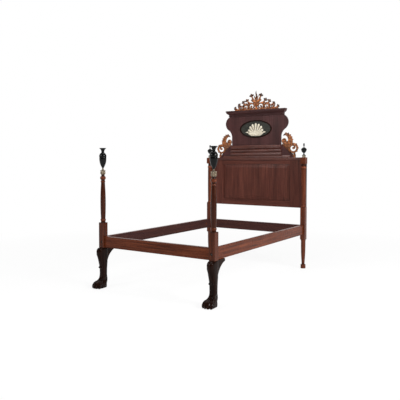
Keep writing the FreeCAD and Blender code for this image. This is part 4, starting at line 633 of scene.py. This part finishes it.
def ivory_relief():
    """Ivory-coloured carving, yellowed, and dark in its hollows with painted shade and dust."""
    material, tree, principled = new_material("ivory_relief", Specular_IOR_Level=0.25)
    vector = object_vector(tree)
    wear_and_shade = place_effect(tree, WEAR_AND_SHADE, Edge_Radius=0.002)
    join(tree, (vector, wear_and_shade.inputs["Vector"]))
    tone = stretched_noise(tree, vector, (45.0, 45.0, 45.0), 5.0, 0.6, 0.3)
    colour = ramp(tree, tone, (0.30, (0.48, 0.42, 0.31)), (0.55, (0.61, 0.56, 0.45)),
                  (0.75, (0.70, 0.66, 0.56)))
    # Painted shade and dust in the hollows
    shade_and_dust = worked(tree, "MULTIPLY", wear_and_shade.outputs["Shaded Hollows"], 0.9)
    colour = blended(tree, shade_and_dust, colour, (0.16, 0.12, 0.06))
    rough = spread(tree, tone, 0.3, 0.7, 0.40, 0.58)
    join(tree, (colour, principled.inputs["Base Color"]), (rough, principled.inputs["Roughness"]))
    bumped(tree, principled, tone, 0.10, 0.0006)
    return material


def old_iron():
    """Dull black iron with rusty patches."""
    material, tree, principled = new_material("old_iron")
    vector = object_vector(tree)
    patch = stretched_noise(tree, vector, (120.0, 120.0, 120.0), 5.0, 0.65, 0.5)
    rust = spread(tree, patch, 0.50, 0.66, 0.0, 0.8)
    colour = blended(tree, rust, (0.030, 0.028, 0.027), (0.060, 0.026, 0.013))
    join(tree, (colour, principled.inputs["Base Color"]),
         (spread(tree, rust, 0.0, 0.8, 0.42, 0.8), principled.inputs["Roughness"]),
         (spread(tree, rust, 0.0, 0.8, 0.6, 0.1), principled.inputs["Metallic"]))
    bumped(tree, principled, patch, 0.2, 0.0008)
    return material


GILT = gilt_wood()
PLAQUE_GROUND = plaque_ground()
IVORY = ivory_relief()
IRON = old_iron()
POST_X, POST_Y = (mahogany("post_mahogany", axis) for axis in "xy")
# Posts with painted highlights on their rings and painted shade in their quirks
FOOT_POST_Z = mahogany("foot_post_mahogany", "z", foot_post_painted_light, 0.20, 0.14)
HEAD_POST_Z = mahogany("head_post_mahogany", "z", head_post_painted_light, 0.20, 0.16)
RAIL_X, RAIL_Y = (mahogany("rail_mahogany", axis, rail_shade, dull=rail_dullness, painted_reflection=rail_painted_reflection)
                  for axis in "xy")
PANEL_X, PANEL_Z = (panel_mahogany(axis) for axis in "xz")
FRIEZE_X = frieze_mahogany("x")
CREST_X, CREST_Y, CREST_Z = (crest_mahogany(axis) for axis in "xyz")
PLAIN_Z = plain_wood("z")
CARVED_X = carved_wood("x", cresting_painted_shade)
CARVED_Z = carved_wood("z", scroll_painted_shade)
DARK_CARVED = dark_carved_wood("z")
EBONISED_Y, EBONISED_Z = (ebonised_wood(axis) for axis in "yz")
BLACK_GLOSS = black_gloss_wood("z")


def both(name):
    return tuple(name + "_" + side for side in SIDES)


FINISHES = (
    (FOOT_POST_Z, both("foot_post")),
    (HEAD_POST_Z, both("head_post")),
    (RAIL_X, ("foot_rail", "head_rail")),
    (RAIL_Y, both("side_rail")),
    (POST_X, ("nut_plugs",)),
    (FRIEZE_X, ("frieze_reeds", "frieze_base_moulding", "frieze_plinth", "panel_cap_strip")),
    (POST_Y, ("foot_rail_pegs", "head_rail_pegs")),
    (PANEL_Z, both("panel_stile") + ("panel_board",)),
    (PANEL_X, ("panel_top_rail", "panel_bottom_rail")),
    (CREST_X, ("frieze_board", "cornice_front")),
    (CREST_Y, both("cornice_return")),
    (CREST_Z, ("crest_panel",)),
    (PLAIN_Z, both("back_batten") + both("urn_dowel") + both("finial_dowel") + ("cresting_dowels",)),
    (EBONISED_Y, both("knee_bracket")),
    (EBONISED_Z, ("oval_frame",)),
    (BLACK_GLOSS, both("foot_urn") + both("head_finial")),
    (GILT, both("urn_base") + both("finial_collar")),
    (PLAQUE_GROUND, ("oval_plaque",)),
    (IRON, ("bed_bolts", "bolt_washers", "bolt_nuts", "panel_screws", "batten_screws")),
)


def finish_solids():
    for material, nodes in FINISHES:
        for node in nodes:
            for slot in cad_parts[node].material_slots:
                slot.material = material


# Carver's tools

def settle(work, stock):
    """Adds a finished shape to the carving it belongs to."""
    offcut = bpy.data.meshes.new("offcut")
    work.to_mesh(offcut)
    work.free()
    stock.from_mesh(offcut)
    bpy.data.meshes.remove(offcut)


def ball(stock, place, half, turn=0.0):
    """Egg with its own half size along each axis, turned about Y."""
    work = bmesh.new()
    shape = Matrix.Translation(place) @ Matrix.Rotation(turn, 4, "Y") @ Matrix.Diagonal((*half, 1.0))
    bmesh.ops.create_icosphere(work, subdivisions=3, radius=1.0, matrix=shape)
    settle(work, stock)


def limb(stock, run, flat=1.0):
    """Round limb through a run of (x, y, z, radius), with rounded ends, flattened along Y."""
    work = bmesh.new()
    press = Matrix.Diagonal((1.0, flat, 1.0, 1.0))
    rings = []
    for i, stop in enumerate(run):
        way = (run[min(i + 1, len(run) - 1)] - run[max(i - 1, 0)]).xyz
        turn = way.to_track_quat("Z", "Y").to_matrix().to_4x4()
        shape = Matrix.Translation(stop.xyz) @ press @ turn
        ring = bmesh.ops.create_circle(work, segments=12, radius=stop.w, matrix=shape)["verts"]
        rings.append(list({edge for vert in ring for edge in vert.link_edges}))
    for first, second in zip(rings, rings[1:]):
        bmesh.ops.bridge_loops(work, edges=first + second)
    for end in (rings[0], rings[-1]):
        bmesh.ops.contextual_create(work, geom=end)
    bmesh.ops.recalc_face_normals(work, faces=work.faces)
    for stop in (run[0], run[-1]):
        shape = Matrix.Translation(stop.xyz) @ press
        bmesh.ops.create_icosphere(work, subdivisions=2, radius=stop.w, matrix=shape)
    settle(work, stock)


def flowing(points, count):
    """Smooth run of count points through the given ones."""
    points = [Vector(point) for point in points]
    last = len(points) - 1
    run = []
    for step in range(count):
        place = step * last / (count - 1)
        i = min(int(place), last - 1)
        t = place - i
        before, start, end, after = (points[max(0, min(last, i + k))] for k in (-1, 0, 1, 2))
        bend = 2 * before - 5 * start + 4 * end - after
        twist = 3 * start - before - 3 * end + after
        run.append((2 * start + (end - before) * t + bend * t ** 2 + twist * t ** 3) / 2)
    return run


def coil(centre, outer, inner, start, turns, width, eye_width, count, hold=0.0):
    """Run of (x, z, half width) along a flat spiral from its rim to its eye."""
    run = []
    for step in range(count):
        t = step / (count - 1)
        shrink = max(0.0, (t - hold) / (1.0 - hold))
        radius = outer + (inner - outer) * shrink
        angle = math.radians(start) + math.tau * turns * t
        run.append(Vector((centre[0] + radius * math.cos(angle), centre[1] + radius * math.sin(angle),
                           width + (eye_width - width) * t)))
    return run


def beaded(bm, run, y, depth, side, beads=2):
    """Carved band of side-by-side beads along a run of (x, z, half width)."""
    widest = max(stop.z for stop in run)
    bead_share = 1.0 / beads
    bead_width = BEAD_OVERLAP * bead_share
    for bead in range(beads):
        shift = (2 * bead + 1) * bead_share - 1.0
        line = []
        for i, stop in enumerate(run):
            way = (run[min(i + 1, len(run) - 1)] - run[max(i - 1, 0)]).xy.normalized()
            offset = Vector((-way.y, way.x)) * stop.z * shift
            line.append(Vector((side * (stop.x + offset.x), y, stop.y + offset.y, bead_width * stop.z)))
        limb(bm, line, depth / (bead_width * widest))


def blade(bm, run, y, depth, side):
    """Leaf along a run of (x, z, half width): a flattened blade with a raised midrib."""
    widest = max(stop.z for stop in run)
    limb(bm, [Vector((side * stop.x, y, stop.y, stop.z)) for stop in run],
         BLADE_SHARE * depth / widest)
    limb(bm, [Vector((side * stop.x, y, stop.y, RIB_SHARE * stop.z + RIB_RADIUS)) for stop in run],
         depth / (RIB_SHARE * widest + RIB_RADIUS))


def flower(bm, x, y, z, size, depth, lean):
    """Three petals round a bead; lean is the middle petal's slant from upright, in degrees."""
    for petal in PETALS:
        angle = math.radians(lean + petal)
        reach = Vector((math.sin(angle), 0.0, math.cos(angle))) * size * 0.72
        ball(bm, Vector((x, y, z)) + reach, (0.50 * size, depth, 0.72 * size), angle)
    ball(bm, (x, y, z), (0.50 * size, 1.25 * depth, 0.50 * size))


def carving(name, bm, body, material, nodes, voxel, rounds):
    """Finished carving that stands for its solids: worked into one skin and rubbed smooth."""
    mesh = bpy.data.meshes.new(name)
    bm.to_mesh(mesh)
    bm.free()
    mesh.materials.append(material)
    piece = bpy.data.objects.new(name, mesh)
    bpy.context.scene.collection.objects.link(piece)
    skin = piece.modifiers.new("one_skin", "REMESH")
    skin.mode = "VOXEL"
    skin.voxel_size = voxel
    skin.use_smooth_shade = True
    rub = piece.modifiers.new("rubbed_smooth", "SMOOTH")
    rub.factor = 0.5
    rub.iterations = rounds
    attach(piece, body)
    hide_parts(*nodes)
    return piece


# Legs with lion paws

def leg_section(bm, x, y, height, front, back, half):
    """Ring of the leg's soft-cornered section; gives its edges."""
    ring = bmesh.ops.create_circle(bm, segments=LEG_SIDES, radius=1.0)["verts"]
    for vert in ring:
        across, along = vert.co.x, vert.co.y
        reach = front if along < 0 else back
        heel = HEEL_SHARE if height < HEEL_HEIGHT and along > -0.5 else 1.0
        narrow = 1.0 - (1.0 - heel) * min(1.0, along + 0.5)
        vert.co = (x + half * narrow * math.copysign(abs(across) ** LEG_SQUARENESS, across),
                   y + reach * math.copysign(abs(along) ** LEG_SQUARENESS, along), height)
    return list({edge for vert in ring for edge in vert.link_edges})


def toe(stock, x, y, splay, reach):
    """Bent toe with its knuckle and claw, in front of the ankle."""
    run = ((x - 0.50 * splay, y - 0.040, 0.066, 0.0105), (x - 0.28 * splay, y - 0.066, 0.0575, 0.0140),
           (x - 0.06 * splay, y - reach + 0.036, 0.0470, 0.0162), (x, y - reach + 0.0195, 0.0300, 0.0164),
           (x, y - reach + 0.0172, 0.0168, 0.0164))
    limb(stock, flowing(run, 13))
    claw = ((x, y - reach + 0.0110, 0.0330, 0.0060), (x, y - reach + 0.0030, 0.0205, 0.0050),
            (x, y - reach + CLAW_TIP, 0.0050, CLAW_TIP))
    limb(stock, flowing(claw, 7))


def paw_hair(stock, x, y):
    """Tendons on the front of the paw and locks of hair behind it."""
    for strand, places in ((TENDON, (-1.0, -0.34, 0.34, 1.0)), (HAIR_LOCK, range(-2, 3))):
        for place in places:
            run = [(x + across * place, y + along, height, radius) for across, along, height, radius in strand]
            limb(stock, flowing(run, 11))


def knee_leaf(stock, x, y):
    """Shallow three-lobed leaf over the knee."""
    for place, top, foot in KNEE_LOBES:
        rise = (top - foot) / (len(KNEE_LOBE) - 1)
        run = [(x + across * place, y + along + change * abs(place), top - step * rise, radius)
               for step, (across, along, change, radius) in enumerate(KNEE_LOBE)]
        limb(stock, flowing(run, 15))


def foot_leg(side):
    x = SIDES[side] * FOOT_POST.x
    y = FOOT_POST.y
    bm = bmesh.new()
    rings = [leg_section(bm, x, y, *section) for section in LEG_SECTIONS]
    for above, below in zip(rings, rings[1:]):
        bmesh.ops.bridge_loops(bm, edges=above + below)
    for end in (rings[0], rings[-1]):
        bmesh.ops.contextual_create(bm, geom=end)
    bmesh.ops.recalc_face_normals(bm, faces=bm.faces)
    for place, reach in TOES:
        toe(bm, x + place * TOE_PITCH, y, place * TOE_PITCH, reach)
    paw_hair(bm, x, y)
    knee_leaf(bm, x, y)
    roll = [(x + across, y - 0.0375, ROLL_HEIGHT, 0.0080) for across in (-ROLL_HALF, 0.0, ROLL_HALF)]
    limb(bm, flowing(roll, 5))
    for turn in (-1, 1):
        ball(bm, (x + 0.0205 * turn, y - 0.0365, ROLL_HEIGHT), (0.0050, 0.0100, 0.0100))
    carving("lion_paw_leg_" + side, bm, "bed_frame", EBONISED_Z, ["foot_leg_" + side],
            LEG_VOXEL, 4)


# Gilt collars below the urns

def leaf_collar(side):
    """Cup of upright leaves round a turned core."""
    x = SIDES[side] * FOOT_POST.x
    y = FOOT_POST.y
    low, high = (corner.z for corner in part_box("foot_collar_" + side))
    tall = high - low
    bm = bmesh.new()
    core = [(low + share * tall, radius) for share, radius in COLLAR_CORE]
    for (foot, foot_radius), (top, top_radius) in zip(core, core[1:]):
        rise = top - foot
        shape = Matrix.Translation((x, y, foot + rise / 2))
        bmesh.ops.create_cone(bm, cap_ends=True, segments=32, radius1=foot_radius, radius2=top_radius,
                              depth=rise, matrix=shape)
    for number in range(COLLAR_LEAVES):
        angle = math.tau * (number + 0.5) / COLLAR_LEAVES
        out = Vector((math.cos(angle), math.sin(angle), 0.0))
        run = []
        for share, reach, thick in COLLAR_LEAF:
            spot = Vector((x, y, low + share * tall)) + out * reach
            run.append((*spot, thick))
        limb(bm, flowing(run, 13))
    for number in range(COLLAR_BEADS):
        angle = math.tau * number / COLLAR_BEADS
        bead = Vector((x + COLLAR_BEAD_RING * math.cos(angle), y + COLLAR_BEAD_RING * math.sin(angle),
                       low + COLLAR_BEAD_HEIGHT))
        ball(bm, bead, (COLLAR_BEAD,) * 3)
    carving("leaf_collar_" + side, bm, "bed_frame", GILT, ["foot_collar_" + side], COLLAR_VOXEL, 2)


# Scrolls beside the crest

def edge_lobes(stock, run, sign, shares, size, depth):
    """Rounded leaf lobes along the left edge of a run of (x, z, half width)."""
    last = len(run) - 2
    for share in shares:
        spot = run[int(share * last)]
        ahead = run[int(share * last) + 1]
        out = Vector((spot.y - ahead.y, ahead.x - spot.x)).normalized()
        tip = spot.xy + out * (spot.z + 0.1 * size)
        ball(stock, (sign * tip.x, SCROLL_Y, tip.y), (size, depth, size))


def side_scroll(side):
    """Volute below, crook above that curls over a rosette, and ribs down to the frieze's slope."""
    sign = SIDES[side]
    bm = bmesh.new()
    vx, vz = VOLUTE
    rx, rz = ROSETTE
    join_point = (vx - 0.037, vz + 0.071, 0.029)
    volute = coil(VOLUTE, 0.0475, 0.012, 115.0, -1.35, 0.0130, 0.0070, 48, 0.62)
    beaded(bm, volute, SCROLL_Y, 0.0120, sign)
    ball(bm, (sign * vx, SCROLL_Y, vz), (0.0150, 0.0128, 0.0150))
    rosette = coil(ROSETTE, 0.031, 0.009, -40.0, -1.6, 0.0095, 0.0042, 44)
    beaded(bm, rosette, SCROLL_Y, 0.0118, sign)
    ball(bm, (sign * rx, SCROLL_Y, rz), (0.0120, 0.0130, 0.0120))
    crook = flowing([(rx + across, rz + rise, half) for across, rise, half in CROOK] + [join_point], 30)
    beaded(bm, crook, SCROLL_Y, 0.0125, sign, 3)
    body = flowing((join_point, (vx - 0.032, vz + 0.058, 0.022), tuple(volute[0]), tuple(volute[4])), 14)
    beaded(bm, body, SCROLL_Y, 0.0125, sign, 3)
    for share in SCROLL_RIBS:
        foot_x = SLOPE_TOP + 0.004 + 0.078 * share
        foot_z = CREST_FOOT - 0.071 * share + 0.003
        rib = flowing(((rx + 0.020 + 0.050 * share, rz - 0.022 + 0.014 * share, 0.0130),
                       (rx + 0.010 + 0.058 * share, rz - 0.045 - 0.012 * share, 0.0120),
                       (foot_x, foot_z, 0.0105)), 12)
        beaded(bm, rib, SCROLL_Y + 0.001, 0.0088, sign, 1)
    foot = flowing(((SLOPE_FOOT - 0.014, PANEL_TOP + 0.004, 0.024),
                    (SLOPE_FOOT - 0.004, PANEL_TOP + 0.022, 0.017),
                    (vx + 0.014, vz - 0.060, 0.010), (vx + 0.012, vz - 0.047, 0.009)), 16)
    beaded(bm, foot, SCROLL_Y, 0.0125, sign, 3)
    out = Vector((CREST_FOOT - PANEL_TOP, SLOPE_FOOT - SLOPE_TOP)).normalized() * SLOPE_BEAD
    edge = flowing(((SLOPE_FOOT - 0.006 + out.x, PANEL_TOP + 0.006 + out.y, 0.0070),
                    ((SLOPE_FOOT + SLOPE_TOP) / 2 + out.x, (PANEL_TOP + CREST_FOOT) / 2 + out.y, 0.0070),
                    (SLOPE_TOP + 0.006 + out.x, CREST_FOOT - 0.005 + out.y, 0.0080)), 18)
    beaded(bm, edge, SCROLL_Y + 0.004, 0.0070, sign, 1)
    edge_lobes(bm, crook, sign, CROOK_LOBES, 0.0100, 0.0095)
    edge_lobes(bm, volute, sign, VOLUTE_LOBES, 0.0075, 0.0090)
    carving("carved_scroll_" + side, bm, "bed_frame", CARVED_Z, ["side_scroll_" + side],
            SCROLL_VOXEL, 3)


# Openwork cresting

def cresting_half(bm, flowers, sign):
    """Scrolls, flowering sprigs and leaves on one side of the cresting."""
    for x, radius in CRESTING_SCROLLS:
        centre = (x, CREST_TOP + radius + 0.012)
        run = coil(centre, radius, 0.30 * radius, 250.0, 1.3, 0.27 * radius, 0.15 * radius, 44, 0.6)
        beaded(bm, run, CRESTING_Y, 0.0100, sign)
        ball(bm, (sign * x, CRESTING_Y, centre[1]), (0.34 * radius, 0.0108, 0.34 * radius))
        for bud in CRESTING_BUDS:
            angle = math.radians(bud)
            tip = Vector(centre) + Vector((math.cos(angle), math.sin(angle))) * 1.22 * radius
            ball(bm, (sign * tip.x, CRESTING_Y, tip.y), (0.26 * radius, 0.0090, 0.26 * radius))
    for number, (foot, knee, tip) in enumerate(CRESTING_SPRIGS):
        stem = flowing([(sign * x, CRESTING_Y, CREST_TOP + z, thick) for (x, z), thick in
                        zip((foot, knee, tip), SPRIG_RADII)], 14)
        limb(bm, stem)
        lean = sign * (16.0 + 10.0 * number)
        flower(flowers, sign * tip[0], CRESTING_Y, CREST_TOP + tip[1], 0.0235 - 0.0016 * number, 0.0098, lean)
        eye = (knee[0] + 0.010, CREST_TOP + knee[1] - 0.010)
        curl = coil(eye, 0.0140, 0.0045, 115.0, -1.0, 0.0056, 0.0036, 18)
        beaded(bm, curl, CRESTING_Y, 0.0085, sign, 1)
    for foot, bend, tip, half in CRESTING_LEAVES:
        run = flowing(((*foot, 0.55 * half), (*bend, half), (*tip, 0.16 * half)), 16)
        leaf = [Vector((stop.x, CREST_TOP + stop.y, max(stop.z, 0.0016))) for stop in run]
        blade(bm, leaf, CRESTING_Y, 0.0095, sign)


def cresting():
    bm = bmesh.new()
    flowers = bmesh.new()
    for sign in SIDES.values():
        cresting_half(bm, flowers, sign)
    ends = CRESTING_BASE_HALF - CRESTING_RAIL
    limb(bm, [Vector((x, CRESTING_Y, CREST_TOP + CRESTING_RAIL, CRESTING_RAIL)) for x in (-ends, 0.0, ends)], 1.5)
    stalk, flame = (flowing([(x, CRESTING_Y, CREST_TOP + z, thick) for x, z, thick in table], 22)
                    for table in (STALK, FLAME))
    limb(bm, stalk, 0.62)
    for sign in SIDES.values():
        bract = flowing([(sign * x, CREST_TOP + z, half) for x, z, half in BRACT], 14)
        blade(bm, bract, CRESTING_Y, 0.0105, 1)
    limb(flowers, flame)
    carving("carved_cresting", bm, "bed_frame", CARVED_X, ["cresting"], CRESTING_VOXEL, 2)
    carving("cresting_flowers", flowers, "bed_frame", DARK_CARVED, ["cresting"],
            CRESTING_VOXEL, 2)


# Relief on the oval plaque

def oval_relief():
    """Scallop shell between two leaf sprays."""
    bm = bmesh.new()
    foot = OVAL_Z - RELIEF_DROP
    for rib in range(SHELL_RIBS):
        share = rib / (SHELL_RIBS - 1) - 0.5
        angle = SHELL_SPREAD * share
        reach = SHELL_REACH - SHELL_DROOP * (2 * abs(share)) ** 2
        way = Vector((math.sin(angle), math.cos(angle)))
        run = [(way.x * r, PLAQUE_FACE, foot + way.y * r, half) for r, half in
               ((0.012, 0.0048), (0.45 * reach, 0.0092), (0.80 * reach, 0.0150), (reach - 0.012, 0.0150))]
        limb(bm, flowing(run, 12), 0.62)
    ball(bm, (0.0, PLAQUE_FACE, foot), (0.0150, 0.0098, 0.0130))
    for sign in SIDES.values():
        stem = flowing([(sign * across, foot + rise, half) for across, rise, half in SPRAY_STEM], SPRAY_STEPS)
        limb(bm, [Vector((stop.x, PLAQUE_FACE, stop.y, stop.z)) for stop in stem], 1.3)
        for place, lean in SPRAY_LEAVES:
            root = stem[int(place * (SPRAY_STEPS - 1))]
            angle = math.radians(lean)
            way = Vector((sign * math.sin(angle), math.cos(angle)))
            tip = root.xy + way * SPRAY_LEAF
            half_way = ((root.x + tip.x) / 2, (root.y + tip.y) / 2)
            leaf = flowing(((root.x, root.y, 0.0030), (*half_way, 0.0075), (tip.x, tip.y, 0.0012)), 9)
            limb(bm, [Vector((stop.x, PLAQUE_FACE, stop.y, stop.z)) for stop in leaf], 0.9)
    carving("shell_relief", bm, "bed_frame", IVORY, ["oval_relief"], RELIEF_VOXEL, 2)


# Studio

def straight_rays(tree, seen):
    """Rays that go on to the background: the camera's and those through glass."""
    return worked(tree, "ADD", seen.outputs["Is Camera Ray"], seen.outputs["Is Transmission Ray"])


def studio_floor():
    """Pale floor that keeps a soft shadow near the bed and fades to the white of the backdrop."""
    material = bpy.data.materials.new("pale_floor")
    material.use_nodes = True
    tree = material.node_tree
    tree.nodes.clear()
    place = put(tree, "TexCoord")
    away = put(tree, "VectorMath", operation="LENGTH")
    speck = put(tree, "TexNoise", Scale=3.0, Detail=4.0)
    tone = ramp(tree, speck.outputs["Fac"], (0.3, (0.88, 0.88, 0.88)), (0.7, (0.92, 0.92, 0.92)))
    matt = put(tree, "BsdfDiffuse")
    white = put(tree, "Emission", Strength=1.0)
    seen = put(tree, "LightPath")
    rays = worked(tree, "ADD", straight_rays(tree, seen), seen.outputs["Is Glossy Ray"])
    join(tree, (place.outputs["Object"], away.inputs[0]), (place.outputs["Object"], speck.inputs["Vector"]),
         (tone, matt.inputs["Color"]))
    fade = spread(tree, away.outputs["Value"], *FLOOR_FADE)
    mix = put(tree, "MixShader")
    out = put(tree, "OutputMaterial")
    join(tree, (worked(tree, "MULTIPLY", rays, fade), mix.inputs[0]), (matt.outputs[0], mix.inputs[1]),
         (white.outputs[0], mix.inputs[2]), (mix.outputs[0], out.inputs["Surface"]))
    bm = bmesh.new()
    bmesh.ops.create_circle(bm, cap_ends=True, segments=64, radius=FLOOR_RADIUS)
    mesh = bpy.data.meshes.new("studio_floor")
    bm.to_mesh(mesh)
    bm.free()
    mesh.materials.append(material)
    floor = bpy.data.objects.new("studio_floor", mesh)
    bpy.context.scene.collection.objects.link(floor)


def backdrop():
    """White surroundings for the camera; in reflections the white wall stands behind the bed and the
    room before it is dim."""
    world = bpy.data.worlds.new("studio_backdrop")
    world.use_nodes = True
    tree = world.node_tree
    tree.nodes.clear()
    seen = put(tree, "LightPath")
    place = put(tree, "TexCoord")
    toward = put(tree, "VectorMath", operation="DOT_PRODUCT")
    toward.inputs[1].default_value = WALL_WAY
    join(tree, (place.outputs["Generated"], toward.inputs[0]))
    wall = spread(tree, toward.outputs["Value"], *WALL_EDGE, ROOM_LEVEL, 1.0)
    reflected = spread(tree, seen.outputs["Is Glossy Ray"], 0.0, 1.0, FILL_LEVEL, 0.0)
    reflected = worked(tree, "ADD", reflected, worked(tree, "MULTIPLY", seen.outputs["Is Glossy Ray"], wall))
    level = worked(tree, "MAXIMUM", reflected, straight_rays(tree, seen))
    light = put(tree, "Background", Color=(1.0, 1.0, 1.0, 1.0))
    out = put(tree, "OutputWorld")
    join(tree, (level, light.inputs["Strength"]), (light.outputs[0], out.inputs["Surface"]))
    bpy.context.scene.world = world


def soft_lamp(name, place, size, power):
    """Square lamp turned to the bed."""
    lamp = bpy.data.lights.new(name, "AREA")
    lamp.shape = "SQUARE"
    lamp.size = size
    lamp.energy = power
    holder = bpy.data.objects.new(name, lamp)
    holder.location = place
    holder.rotation_euler = (BED_CENTRE - Vector(place)).to_track_quat("-Z", "Y").to_euler()
    bpy.context.scene.collection.objects.link(holder)


def studio():
    studio_floor()
    backdrop()
    for lamp in LAMPS:
        soft_lamp(*lamp)
    bpy.context.scene.view_settings.view_transform = "Standard"
    camera = bpy.data.cameras.new("photo_camera")
    camera.sensor_width = 36.0
    camera.lens = CAMERA_LENS
    camera.shift_x, camera.shift_y = CAMERA_SHIFT
    camera.clip_end = FAR_CLIP
    holder = bpy.data.objects.new("photo_camera", camera)
    holder.location = CAMERA_PLACE
    holder.rotation_euler = (math.pi / 2 + CAMERA_TILT, 0.0, CAMERA_TURN)
    bpy.context.scene.collection.objects.link(holder)
    bpy.context.scene.camera = holder


finish_solids()
for bed_side in SIDES:
    foot_leg(bed_side)
    leaf_collar(bed_side)
    side_scroll(bed_side)
cresting()
oval_relief()
studio()
